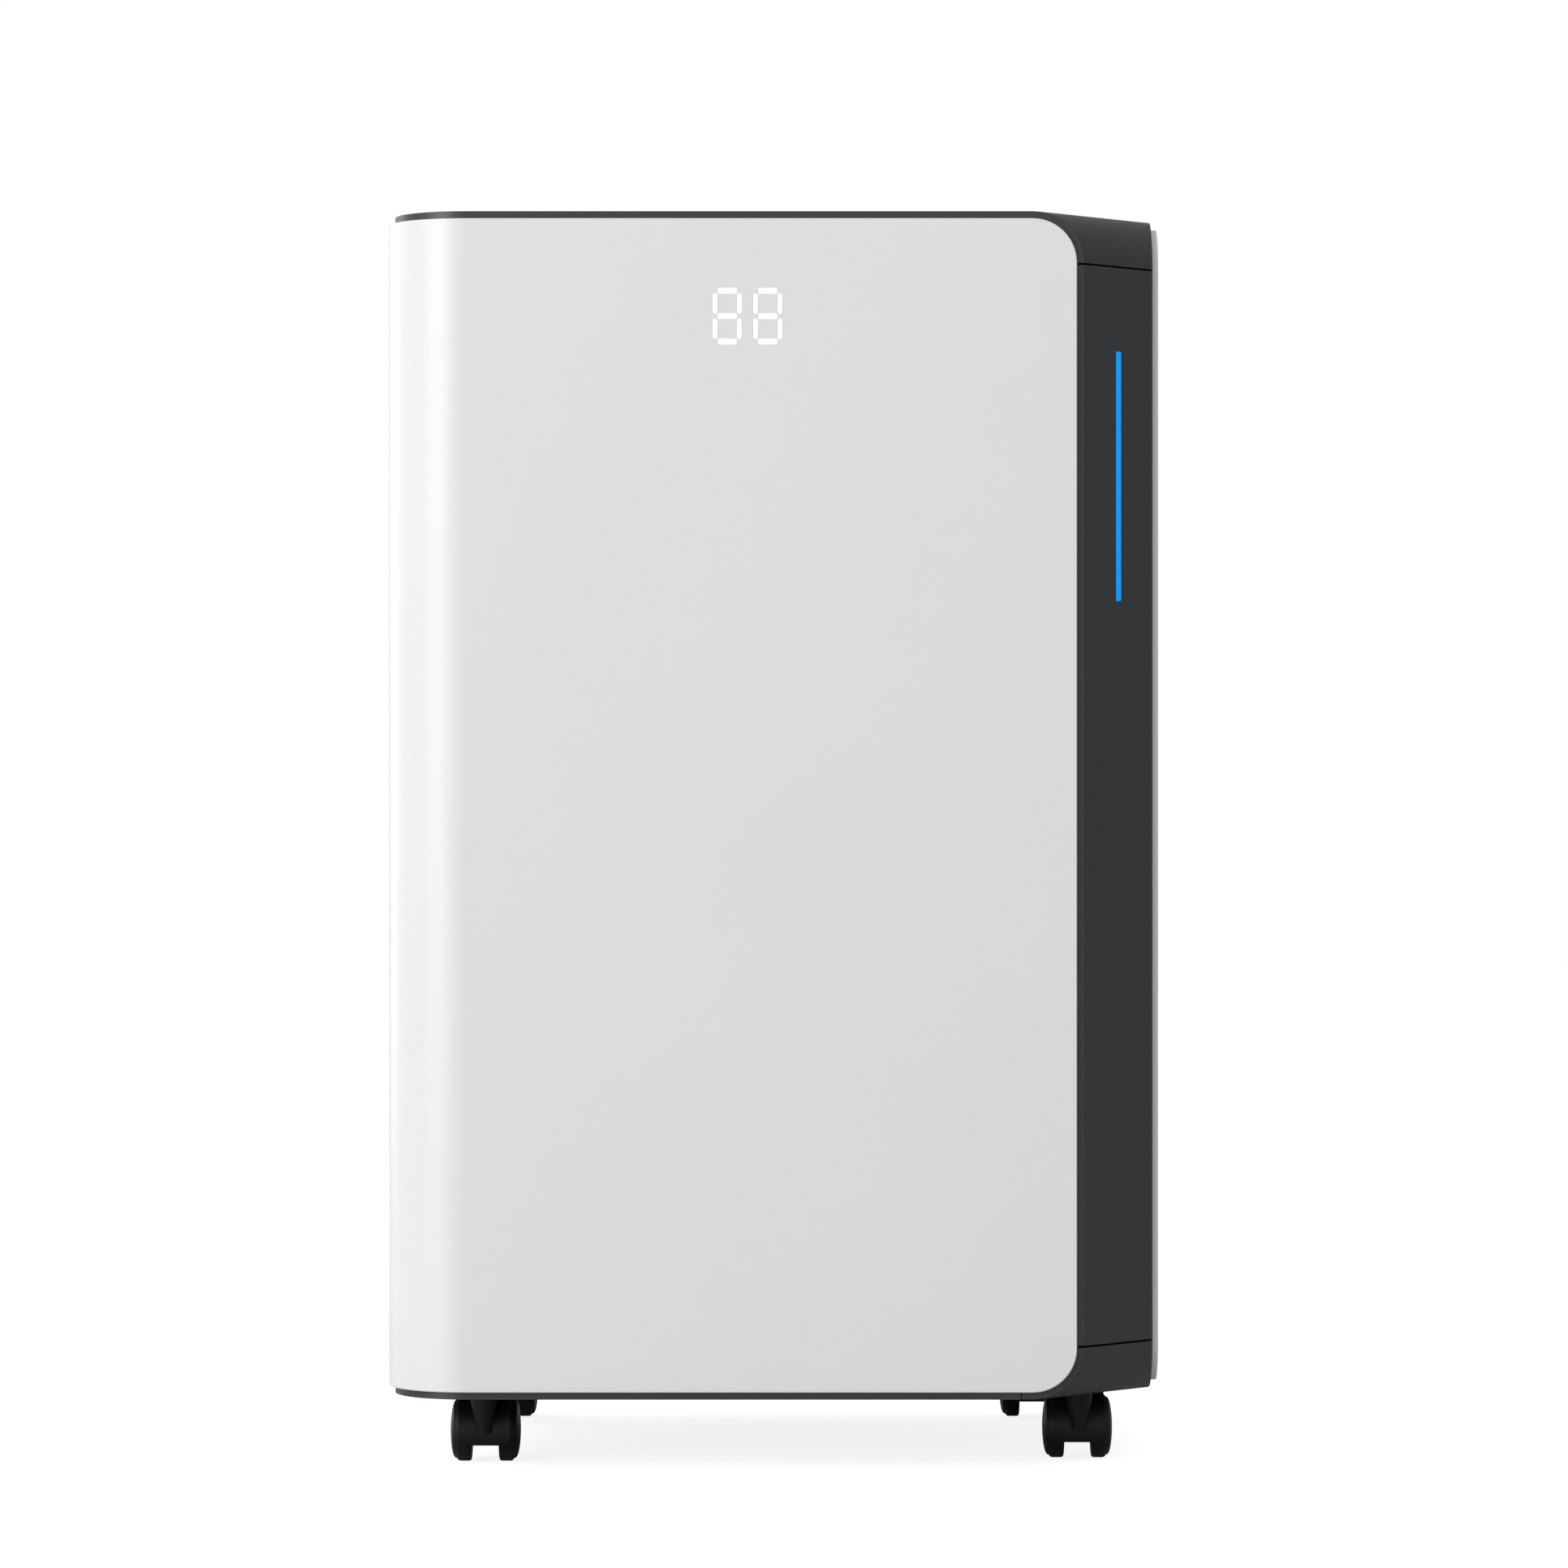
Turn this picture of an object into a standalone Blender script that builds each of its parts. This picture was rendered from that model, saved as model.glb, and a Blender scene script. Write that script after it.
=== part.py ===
# Free-standing dehumidifier on twin-wheel casters. Metres, +Z up, front towards -Y.
# The origin is on the floor, under the middle of the cabinet.
import math

import bmesh
import bpy
from mathutils import Matrix, Vector

# ---- driving dimensions -------------------------------------------------------------
WIDTH = 0.360
DEPTH = 0.276
HEIGHT = 0.584
GAP = 0.0003  # between pieces that touch
SEAM = 0.0007  # open joint between the dark mouldings
WALL = 0.003
ROOM = 0.0005  # round the pieces that come out through the rear shell
BOARD_THICKNESS = 0.0016
PANEL_PROUD = 0.003  # the white shells stand this far off the dark body
PANEL_MARGIN = 0.0035  # dark edge left round each white shell
CORNER_RADIUS = 0.038  # rounded vertical corners of the white shells
CHAMFER_LEG = 0.0335  # dark chamfered corners, measured along X or Y
END_RADIUS = 0.024  # chamfered corners roll over at the top and the bottom
SHELL_END_RADIUS = 0.0205

LIGHT_WIDTH = 0.00315
LIGHT_LENGTH = 0.1158
LIGHT_DROP = 0.0637  # top of the cabinet to the top of the light strip

DIGIT_WIDTH = 0.0137
DIGIT_HEIGHT = 0.0259
DIGIT_PITCH = 0.0187
DIGIT_DROP = 0.0358  # top of the cabinet to the top of the digits
DIGIT_CENTRE = -0.0121
SEGMENT_THICKNESS = 0.0025
SEGMENT_ASIDE = 0.0008  # level bars of a digit stop short of the corners by this much
SEGMENT_ABOVE = 0.0011  # and its upright bars by this much

WHEEL_RADIUS = 0.015
WHEEL_CLEARANCE = 0.005  # top of the wheels to the underside of the base
WHEEL_WIDTH = 0.0099
WHEEL_SPACE = 0.0132  # between the two wheels of a caster
CASTER_TRAIL = 0.018
HOOD_WIDTH = 0.0244
STEM_RADIUS = 0.004
AXLE_RADIUS = 0.0025
SOCKET_RADIUS = 0.0075
SOCKET_HEIGHT = 0.017
BASE_CORNER_START = 0.0625  # base corner piece, from the side wall inwards
BASE_CORNER_STRIP = 0.0343  # width of that piece, along X or Y from the chamfer line

TANK_HEIGHT = 0.174
TANK_LIFT = 0.0035  # rim of the base to the tank
TANK_WALL = 0.0025
BAY_ROOM = 0.0015  # between the tank and the walls of its bay
TANK_SIDE = 0.0155  # chamfer to the side of the tank
TANK_CORNER = 0.004  # its four long edges, rounded alike on the tank, its lid and its panel
ELECTRONICS_DEPTH = 0.068
DECK_THICKNESS = 0.004
COMPRESSOR_RADIUS = 0.055
COMPRESSOR_GAP = 0.0147

CONTROL_START = 0.014  # front face of the cabinet to the control plate
CONTROL_DEPTH = 0.052
CONTROL_WIDTH = 0.150
BUTTON_RADIUS = 0.0075
BUTTON_TRAVEL_ROOM = 0.0009
CONTROL_FRAME_DEPTH = 0.012
HANDLE_DEPTH = 0.050
HANDLE_WIDTH = 0.150
HANDLE_THICKNESS = 0.012
TOP_STEP = 0.013  # bands of flat top between the control plate, handle and outlet
VANE_COUNT = 4
FAN_RADIUS = 0.080
FAN_LIFT = 0.012
COIL_DEPTH = 0.021
COIL_MARGIN = 0.062  # side of the dark body to the side of the coils

# Each caster's wheels stand here: from the sides of the dark body, and from its front or back.
CASTER_INSETS = {
    "front_left": (0.041, 0.0588),
    "front_right": (0.0332, 0.0726),
    "rear_left": (0.041, 0.0215),
    "rear_right": (0.047, 0.0215),
}

# ---- derived values -----------------------------------------------------------------
FLOOR_GAP = 2 * WHEEL_RADIUS + WHEEL_CLEARANCE
BODY_X = WIDTH / 2 - PANEL_PROUD
BODY_Y = DEPTH / 2 - PANEL_PROUD
INNER_X = BODY_X - WALL
INNER_Y = BODY_Y - WALL
CHAMFER_REACH = BODY_X + BODY_Y - CHAMFER_LEG  # x - y on the front chamfer
CHAMFER_X = CHAMFER_REACH - BODY_Y
CHAMFER_Y = CHAMFER_REACH - BODY_X
BASE_TOP = FLOOR_GAP + END_RADIUS
BASE_FLOOR = FLOOR_GAP + WALL
COVER_BOTTOM = HEIGHT - END_RADIUS
SHELL_THICKNESS = PANEL_PROUD - GAP
FLANGE = TANK_SIDE - 0.001  # of the corner panels, behind the ends of the shells
TANK_BOTTOM = BASE_TOP + TANK_LIFT
TANK_TOP = TANK_BOTTOM + TANK_HEIGHT
DECK_BOTTOM = TANK_TOP + 0.008
DECK_TOP = DECK_BOTTOM + DECK_THICKNESS
COMPRESSOR_X = INNER_X - COMPRESSOR_GAP - COMPRESSOR_RADIUS
COMPRESSOR_Y = 0.020
BAY_RIGHT = COMPRESSOR_X - COMPRESSOR_RADIUS - COMPRESSOR_GAP - WALL
TANK_LEFT = TANK_SIDE - CHAMFER_X
TANK_RIGHT = BAY_RIGHT - BAY_ROOM
TANK_FRONT = ELECTRONICS_DEPTH - DEPTH / 2
COIL_X = BODY_X - COIL_MARGIN
COIL_BOTTOM = DECK_TOP + 0.004
COIL_TOP = COVER_BOTTOM - 0.012
EVAPORATOR_Y = DEPTH / 2 - 0.014 - COIL_DEPTH
CONDENSER_Y = EVAPORATOR_Y - 0.003 - COIL_DEPTH
CONTROL_FRONT = CONTROL_START - DEPTH / 2
HANDLE_FRONT = CONTROL_FRONT + CONTROL_DEPTH + TOP_STEP
HANDLE_BACK = HANDLE_FRONT + HANDLE_DEPTH
OUTLET_FRONT = HANDLE_BACK + TOP_STEP
OUTLET_BACK = CONDENSER_Y - 0.004
HOUSING_FRONT = OUTLET_FRONT - 0.003
HOUSING_BACK = OUTLET_BACK
FAN_Z = DECK_TOP + FAN_LIFT + FAN_RADIUS + 0.015
DOOR_X = COIL_X + 0.003
DOOR_BOTTOM = DECK_TOP + 0.015
DOOR_TOP = COIL_TOP + 0.004
ROUND_STEPS = 5
CORNER_STEPS = 7

CASTERS = {}
for place, (side_inset, end_inset) in CASTER_INSETS.items():
    wheel_x = (BODY_X - side_inset) * (-1 if place.endswith("left") else 1)
    wheel_y = (BODY_Y - end_inset) * (-1 if place.startswith("front") else 1)
    CASTERS[place] = (wheel_x, wheel_y)


# ---- helpers ------------------------------------------------------------------------
def clear_scene():
    for item in list(bpy.data.objects):
        bpy.data.objects.remove(item, do_unlink=True)


def make_material(name, colour, roughness, metallic=0.0):
    material = bpy.data.materials.new(name)
    material.use_nodes = True
    shader = material.node_tree.nodes["Principled BSDF"]
    shader.inputs["Base Color"].default_value = (*colour, 1.0)
    shader.inputs["Roughness"].default_value = roughness
    shader.inputs["Metallic"].default_value = metallic
    return material


def loft(rings, loop=False):
    """Faces between rings of equal length; a ring of one point is a pole."""
    shape = bmesh.new()
    made = [[shape.verts.new(point) for point in ring] for ring in rings]
    pairs = list(zip(made, made[1:]))
    if loop:
        pairs.append((made[-1], made[0]))
    for below, above in pairs:
        count = max(len(below), len(above))
        for i in range(count):
            j = (i + 1) % count
            corners = [below[i % len(below)], below[j % len(below)]]
            corners += [above[j % len(above)], above[i % len(above)]]
            shape.faces.new(list(dict.fromkeys(corners)))
    if not loop:
        for ring in (made[0], made[-1]):
            if len(ring) > 2:
                shape.faces.new(ring)
    bmesh.ops.recalc_face_normals(shape, faces=shape.faces)
    return shape


def block(low, high):
    corners = [(low[0], low[1]), (high[0], low[1]), (high[0], high[1]), (low[0], high[1])]
    return loft([[(x, y, z) for x, y in corners] for z in (low[2], high[2])])


def prism(outline, axis, start, end):
    """A plane outline pushed along X, Y or Z; its two numbers are the other axes in order."""
    order = "XYZ".index(axis)

    def place(point, level):
        found = list(point)
        found.insert(order, level)
        return found

    return loft([[place(point, level) for point in outline] for level in (start, end)])


def turned(profile, axis, centre, segments=16, loop=False):
    """A profile of (radius, height along the axis) turned about the axis through centre."""
    order = "XYZ".index(axis)
    rings = []
    for radius, height in profile:
        ring = []
        for i in range(segments if radius > 0 else 1):
            angle = math.tau * i / segments
            point = [radius * math.cos(angle), radius * math.sin(angle)]
            point.insert(order, height)
            ring.append([a + b for a, b in zip(point, centre)])
        rings.append(ring)
    return loft(rings, loop)


def rod(radius, axis, centre, start, end, segments=16):
    return turned([(radius, start), (radius, end)], axis, centre, segments)


def merged(*shapes):
    """Separate closed shapes in one mesh, for a tool that cuts or adds several at once."""
    result = bmesh.new()
    for shape in shapes:
        mesh = bpy.data.meshes.new("part_of_tool")
        shape.to_mesh(mesh)
        result.from_mesh(mesh)
        shape.free()
        bpy.data.meshes.remove(mesh)
    return result


def half_turn(shape):
    bmesh.ops.rotate(shape, verts=shape.verts, matrix=Matrix.Rotation(math.pi, 3, "Z"))
    return shape


def shift(shape, offset):
    bmesh.ops.translate(shape, verts=shape.verts, vec=offset)
    return shape


def add_piece(name, shape, material, origin=(0, 0, 0)):
    """A named piece whose mesh was drawn in world places; origin is its pivot."""
    mesh = bpy.data.meshes.new(name)
    shape.to_mesh(mesh)
    shape.free()
    mesh.transform(Matrix.Translation(-Vector(origin)))
    mesh.materials.append(material)
    mesh.shade_smooth()
    mesh.set_sharp_from_angle(angle=math.radians(35))
    piece = bpy.data.objects.new(name, mesh)
    piece.location = origin
    bpy.context.scene.collection.objects.link(piece)
    return piece


def apply_tool(piece, shape, operation):
    tool = add_piece(f"{piece.name}_tool_{len(piece.modifiers) + 1}", shape, piece.data.materials[0])
    tool.hide_render = True
    tool.display_type = "WIRE"
    modifier = piece.modifiers.new(operation.title(), "BOOLEAN")
    modifier.operation = operation
    modifier.solver = "EXACT"
    modifier.object = tool


def cut(piece, *shapes):
    apply_tool(piece, merged(*shapes), "DIFFERENCE")


def join(piece, *shapes):
    for shape in shapes:
        apply_tool(piece, shape, "UNION")


def keep(piece, shape):
    apply_tool(piece, shape, "INTERSECT")


def arc(centre, radius, start, end, steps):
    """Points from one angle to another, in degrees."""
    angles = [math.radians(start + (end - start) * i / steps) for i in range(steps + 1)]
    return [(centre[0] + radius * math.cos(a), centre[1] + radius * math.sin(a)) for a in angles]


def rounded_box_outline(low, high, radius, steps=3):
    points = []
    corners = [(high[0], high[1], 0), (low[0], high[1], 90), (low[0], low[1], 180), (high[0], low[1], 270)]
    for x, y, start in corners:
        centre = (x - radius if x == high[0] else x + radius, y - radius if y == high[1] else y + radius)
        points += arc(centre, radius, start, start + 90, steps)
    return points


def body_outline(inset=0.0, setback=0.0):
    """Plan of the dark body: two rounded corners and two chamfered ones, half-turn symmetric."""
    x = BODY_X - inset
    y = BODY_Y - inset
    radius = CORNER_RADIUS - PANEL_PROUD - inset
    reach = CHAMFER_REACH - setback - inset * math.sqrt(2)
    half = arc((radius - x, radius - y), radius, 180, 270, CORNER_STEPS)
    half += [(reach - y, -y), (x, x - reach)]
    return half + [(-px, -py) for px, py in half]


def rolled_levels(inset, upward):
    """Rings of the body outline through the rolled end, from its straight edge to its flat."""
    radius = END_RADIUS - inset
    rings = []
    for i in range(ROUND_STEPS + 1):
        angle = math.pi / 2 * i / ROUND_STEPS
        rise = radius * math.sin(angle)
        z = COVER_BOTTOM + rise if upward else BASE_TOP - rise
        outline = body_outline(inset, radius * (1 - math.cos(angle)))
        rings.append([(px, py, z) for px, py in outline])
    return rings


def tray_shape(upward):
    outer = rolled_levels(0.0, upward)
    inner = rolled_levels(WALL, upward)
    return loft(outer[::-1] + inner)


def on_chamfer(shape):
    """Moves a shape drawn with X along the chamfer and -Y outward onto the front chamfer."""
    middle = ((CHAMFER_X + BODY_X) / 2, -(BODY_Y + CHAMFER_Y) / 2, 0)
    bmesh.ops.rotate(shape, verts=shape.verts, matrix=Matrix.Rotation(math.pi / 4, 3, "Z"))
    return shift(shape, middle)


def smooth_route(points, radius, steps=4):
    """A route with each inner corner replaced by a short curve."""
    points = [Vector(point) for point in points]
    route = [points[0]]
    for before, corner, after in zip(points, points[1:], points[2:]):
        start = corner + (before - corner).normalized() * radius
        end = corner + (after - corner).normalized() * radius
        for i in range(steps + 1):
            t = i / steps
            route.append(start * (1 - t) ** 2 + corner * 2 * t * (1 - t) + end * t * t)
    return route + [points[-1]]


def add_pipe(name, points, radius, bend, material):
    curve = bpy.data.curves.new(name, "CURVE")
    curve.dimensions = "3D"
    curve.bevel_depth = radius
    curve.bevel_resolution = 2
    curve.use_fill_caps = True
    route = smooth_route(points, bend)
    spline = curve.splines.new("POLY")
    spline.points.add(len(route) - 1)
    for point, place in zip(spline.points, route):
        point.co = (*place, 1.0)
    curve.materials.append(material)
    pipe = bpy.data.objects.new(name, curve)
    bpy.context.scene.collection.objects.link(pipe)


# ---- cabinet ------------------------------------------------------------------------
def base_corner_outline(grow):
    """Plan of the base corner piece at the front chamfer; grow widens it for the cut."""
    start = BODY_X - BASE_CORNER_START - grow
    side = start - (BODY_X - BODY_Y)
    reach = CHAMFER_REACH - BASE_CORNER_STRIP - grow * 2
    far = BODY_X + 0.02
    return [(start, -far), (far, -far), (far, -side), (reach - side, -side), (start, start - reach)]


def caster_stems():
    return {name: (x, y - CASTER_TRAIL) for name, (x, y) in CASTERS.items()}


def build_base():
    pan = add_piece("base_pan", tray_shape(upward=False), dark_abs)
    below = FLOOR_GAP - 0.0015
    for x, y in caster_stems().values():
        profile = [(0.0135, below), (0.0135, BASE_FLOOR - 0.001)]
        profile += [(SOCKET_RADIUS, BASE_FLOOR - 0.001), (SOCKET_RADIUS, FLOOR_GAP + SOCKET_HEIGHT)]
        join(pan, turned(profile, "Z", (x, y, 0)))
    bores = []
    for x, y in caster_stems().values():
        bores.append(rod(STEM_RADIUS + GAP, "Z", (x, y, 0), below - 0.01, FLOOR_GAP + SOCKET_HEIGHT - WALL, 12))
    cut(pan, *bores)
    for corner in (0, 1):
        seam = prism(base_corner_outline(GAP), "Z", -0.01, HEIGHT)
        cut(pan, half_turn(seam) if corner else seam)
    for name, turn in (("base_corner_front", False), ("base_corner_rear", True)):
        corner = add_piece(name, tray_shape(upward=False), dark_abs)
        outline = prism(base_corner_outline(0), "Z", -0.01, HEIGHT)
        keep(corner, half_turn(outline) if turn else outline)


def shell_shape():
    """The front shell: a thin wall round the front-left corner with rounded free ends."""
    low = FLOOR_GAP + PANEL_MARGIN
    high = HEIGHT - PANEL_MARGIN
    outer_x = WIDTH / 2
    outer_y = DEPTH / 2
    steps = 8
    ends = []
    for i in range(steps + 1):
        angle = math.pi / 2 * (1 - i / steps)
        ends.append((SHELL_END_RADIUS * (1 - math.sin(angle)), SHELL_END_RADIUS * (1 - math.cos(angle))))
    columns = []
    for along, margin in ends:
        x = CHAMFER_X - PANEL_MARGIN - along
        columns.append((x, -outer_y, 0.0, 1.0, margin))
    centre = (CORNER_RADIUS - outer_x, CORNER_RADIUS - outer_y)
    for x, y in arc(centre, CORNER_RADIUS, 270, 180, 12):
        inward = (Vector(centre) - Vector((x, y))).normalized()
        columns.append((x, y, inward.x, inward.y, 0.0))
    for along, margin in reversed(ends):
        y = CHAMFER_Y - PANEL_MARGIN - along
        columns.append((-outer_x, y, 1.0, 0.0, margin))
    rings = []
    for x, y, nx, ny, margin in columns:
        inner = (x + nx * SHELL_THICKNESS, y + ny * SHELL_THICKNESS)
        rings.append([
            (x, y, low + margin),
            (x, y, high - margin),
            (*inner, high - margin),
            (*inner, low + margin),
        ])
    return loft(rings)


def segment_outlines(shrink):
    """The fourteen bars of two figure eights, as pointed hexagons in X and Z."""
    half_thick = SEGMENT_THICKNESS / 2 - shrink
    across = DIGIT_WIDTH / 2 - SEGMENT_THICKNESS / 2
    rise = DIGIT_HEIGHT / 2 - SEGMENT_THICKNESS / 2
    middle_z = HEIGHT - DIGIT_DROP - DIGIT_HEIGHT / 2
    aside = SEGMENT_ASIDE + shrink * 1.4
    above = SEGMENT_ABOVE + shrink * 1.4
    outlines = []
    for side in (-1, 1):
        middle_x = DIGIT_CENTRE + side * DIGIT_PITCH / 2
        for level in (-rise, 0, rise):
            ends = (middle_x - across + aside, middle_x + across - aside)
            z = middle_z + level
            outlines.append([
                (ends[0], z), (ends[0] + half_thick, z + half_thick), (ends[1] - half_thick, z + half_thick),
                (ends[1], z), (ends[1] - half_thick, z - half_thick), (ends[0] + half_thick, z - half_thick),
            ])
        for x in (middle_x - across, middle_x + across):
            for low, high in ((middle_z - rise, middle_z), (middle_z, middle_z + rise)):
                ends = (low + above, high - above)
                outlines.append([
                    (x, ends[0]), (x + half_thick, ends[0] + half_thick), (x + half_thick, ends[1] - half_thick),
                    (x, ends[1]), (x - half_thick, ends[1] - half_thick), (x - half_thick, ends[0] + half_thick),
                ])
    return outlines


def build_shells():
    front = add_piece("front_shell", shell_shape(), white_abs)
    windows = [prism(points, "Y", -DEPTH, -BODY_Y + 0.01) for points in segment_outlines(0)]
    cut(front, *windows)
    rear = add_piece("rear_shell", half_turn(shell_shape()), white_abs)
    through = (BODY_Y - 0.01, DEPTH)
    tank_hole = rounded_box_outline(
        (TANK_LEFT - ROOM, TANK_BOTTOM - ROOM), (TANK_RIGHT + ROOM, TANK_TOP + ROOM), TANK_CORNER + ROOM
    )
    door_hole = rounded_box_outline(
        (-DOOR_X - ROOM, DOOR_BOTTOM - ROOM), (DOOR_X + ROOM, DOOR_TOP + ROOM), 0.001
    )
    low, high = inlet_face()
    inlet_hole = rounded_box_outline((low[0] - GAP, low[1] - GAP), (high[0] + GAP, high[1] + GAP), INLET_CORNER + GAP, 2)
    cut(rear, *[prism(outline, "Y", *through) for outline in (tank_hole, door_hole, inlet_hole)])
    cut(rear, rod(DRAIN_CAP_RADIUS + ROOM, "Y", drain_place(), *through, 24))


def build_corner_panels():
    inner = body_outline(WALL)
    start, end = inner[CORNER_STEPS + 1], inner[CORNER_STEPS + 2]
    outline = [
        (CHAMFER_X - FLANGE, -BODY_Y), (CHAMFER_X, -BODY_Y), (BODY_X, -CHAMFER_Y), (BODY_X, -CHAMFER_Y + FLANGE),
        (INNER_X, -CHAMFER_Y + FLANGE), end, start, (CHAMFER_X - FLANGE, -INNER_Y),
    ]
    low = BASE_TOP + SEAM
    high = COVER_BOTTOM - SEAM
    front = add_piece("corner_panel_front", prism(outline, "Z", low, high), dark_abs)
    top = HEIGHT - LIGHT_DROP
    half = LIGHT_WIDTH / 2
    slot = block((-half - GAP / 2, -0.01, top - LIGHT_LENGTH - GAP), (half + GAP / 2, 0.01, top + GAP))
    cut(front, on_chamfer(slot))
    add_piece("corner_panel_rear", half_turn(prism(outline, "Z", low, high)), dark_abs)

    strip = block((-half, -0.0001, top - LIGHT_LENGTH), (half, WALL + 0.001, top))
    guide = add_piece("light_guide", on_chamfer(strip), blue_guide)
    back = block((-0.006, WALL + GAP, top - LIGHT_LENGTH - 0.004), (0.006, WALL + 0.0025, top + 0.004))
    join(guide, on_chamfer(back))
    behind = WALL + 0.0025 + GAP
    board = block((-0.008, behind, top - LIGHT_LENGTH - 0.006), (0.008, behind + BOARD_THICKNESS, top + 0.006))
    lights = add_piece("light_board", on_chamfer(board), circuit_board)
    plug = block((-0.004, behind + 0.001, top - LIGHT_LENGTH), (0.004, behind + 0.006, top - LIGHT_LENGTH + 0.008))
    join(lights, on_chamfer(plug))


# ---- top ----------------------------------------------------------------------------
HANDLE_X = HANDLE_WIDTH / 2
HANDLE_POCKET_X = HANDLE_X + 0.004
HANDLE_PIVOT = (0.0, HANDLE_BACK - 0.009, HEIGHT - 0.0075)
POCKET_FLOOR = COVER_BOTTOM + 0.002
OUTLET_X = COIL_X + 0.002
VANE_PITCH = (OUTLET_BACK - OUTLET_FRONT) / VANE_COUNT
VANE_CHORD = VANE_PITCH - 0.0008
VANE_Z = HEIGHT - max(VANE_CHORD / 2 + 0.0006, 0.009)  # low enough for the motor behind it
VANE_MOTOR_RADIUS = 0.010
VANE_PIN_RADIUS = 0.0015
HANDLE_PIN_RADIUS = 0.003
TUB_WALL = 0.0025
CONTROL_X = (DIGIT_CENTRE - CONTROL_WIDTH / 2, DIGIT_CENTRE + CONTROL_WIDTH / 2)
LEDGE = 0.004
PLATE_THICKNESS = 0.0016


def vane_centre(index):
    return (0.0, OUTLET_FRONT + VANE_PITCH * (index + 0.5), VANE_Z)


def button_centres():
    y = CONTROL_FRONT + CONTROL_DEPTH / 2
    names = ("power", "fan", "timer", "humidity")
    return {name: (DIGIT_CENTRE + (i - 1.5) * 0.030, y) for i, name in enumerate(names)}


def build_top_cover():
    cover = add_piece("top_cover", tray_shape(upward=True), dark_abs)
    roof = HEIGHT - WALL
    # The two tubs hang from the roof: one for the folded handle, one for the air outlet.
    handle_tub = block(
        (-HANDLE_POCKET_X - TUB_WALL, HANDLE_FRONT - TUB_WALL, POCKET_FLOOR - TUB_WALL),
        (HANDLE_POCKET_X + TUB_WALL, HANDLE_BACK + TUB_WALL, roof + 0.001),
    )
    outlet_tub = block(
        (-OUTLET_X - TUB_WALL, OUTLET_FRONT - TUB_WALL, COVER_BOTTOM - 0.0005),
        (OUTLET_X + TUB_WALL, OUTLET_BACK + TUB_WALL, roof + 0.001),
    )
    control_frame = block(
        (CONTROL_X[0] - LEDGE, CONTROL_FRONT - LEDGE, HEIGHT - CONTROL_FRAME_DEPTH),
        (CONTROL_X[1] + LEDGE, CONTROL_FRONT + CONTROL_DEPTH + LEDGE, roof + 0.001),
    )
    join(cover, handle_tub, outlet_tub, control_frame)
    handle_pocket = prism(
        rounded_box_outline((-HANDLE_POCKET_X, HANDLE_FRONT), (HANDLE_POCKET_X, HANDLE_BACK), 0.006),
        "Z", POCKET_FLOOR, HEIGHT + 0.01,
    )
    outlet_hole = block((-OUTLET_X, OUTLET_FRONT, COVER_BOTTOM - 0.01), (OUTLET_X, OUTLET_BACK, HEIGHT + 0.01))
    plate_seat = prism(
        rounded_box_outline(
            (CONTROL_X[0] - GAP, CONTROL_FRONT - GAP), (CONTROL_X[1] + GAP, CONTROL_FRONT + CONTROL_DEPTH + GAP), 0.004
        ),
        "Z", HEIGHT - PLATE_THICKNESS - GAP, HEIGHT + 0.01,
    )
    cut(cover, handle_pocket, outlet_hole, plate_seat)
    window = block(
        (CONTROL_X[0] + LEDGE, CONTROL_FRONT + LEDGE, HEIGHT - 0.02),
        (CONTROL_X[1] - LEDGE, CONTROL_FRONT + CONTROL_DEPTH - LEDGE, HEIGHT - PLATE_THICKNESS),
    )
    cut(cover, window)
    reach = HANDLE_POCKET_X + TUB_WALL + 0.001
    holes = [rod(HANDLE_PIN_RADIUS + GAP, "X", HANDLE_PIVOT, -reach, reach, 16)]
    for i in range(VANE_COUNT):
        holes.append(rod(VANE_PIN_RADIUS + GAP, "X", vane_centre(i), -OUTLET_X - 0.01, OUTLET_X + 0.01, 12))
    cut(cover, *holes)


def build_handle():
    """A bail that lies flat in its pocket, with its pins in the pocket's ends."""
    half = HANDLE_THICKNESS / 2
    pivot_y, pivot_z = HANDLE_PIVOT[1], HANDLE_PIVOT[2]
    front = HANDLE_FRONT + 0.0015
    low, high = pivot_z - half, pivot_z + half
    grip = prism(
        rounded_box_outline((front, low), (front + 0.014, high), 0.004, 3), "X", -HANDLE_X, HANDLE_X
    )
    handle = add_piece("carry_handle", grip, soft_black, HANDLE_PIVOT)
    for side in (-1, 1):
        ends = sorted((side * HANDLE_X, side * (HANDLE_X - 0.010)))
        arm = [(front + 0.005, low + 0.001), (pivot_y, low + 0.001)]
        arm += arc((pivot_y, pivot_z), half - 0.001, -80, 80, 6)
        arm += [(pivot_y, high - 0.001), (front + 0.005, high - 0.001)]
        join(handle, prism(arm, "X", *ends))
        pin = sorted((side * (HANDLE_X - 0.005), side * (HANDLE_POCKET_X + 0.002)))
        join(handle, rod(HANDLE_PIN_RADIUS, "X", (0, pivot_y, pivot_z), *pin, 16))


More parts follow.
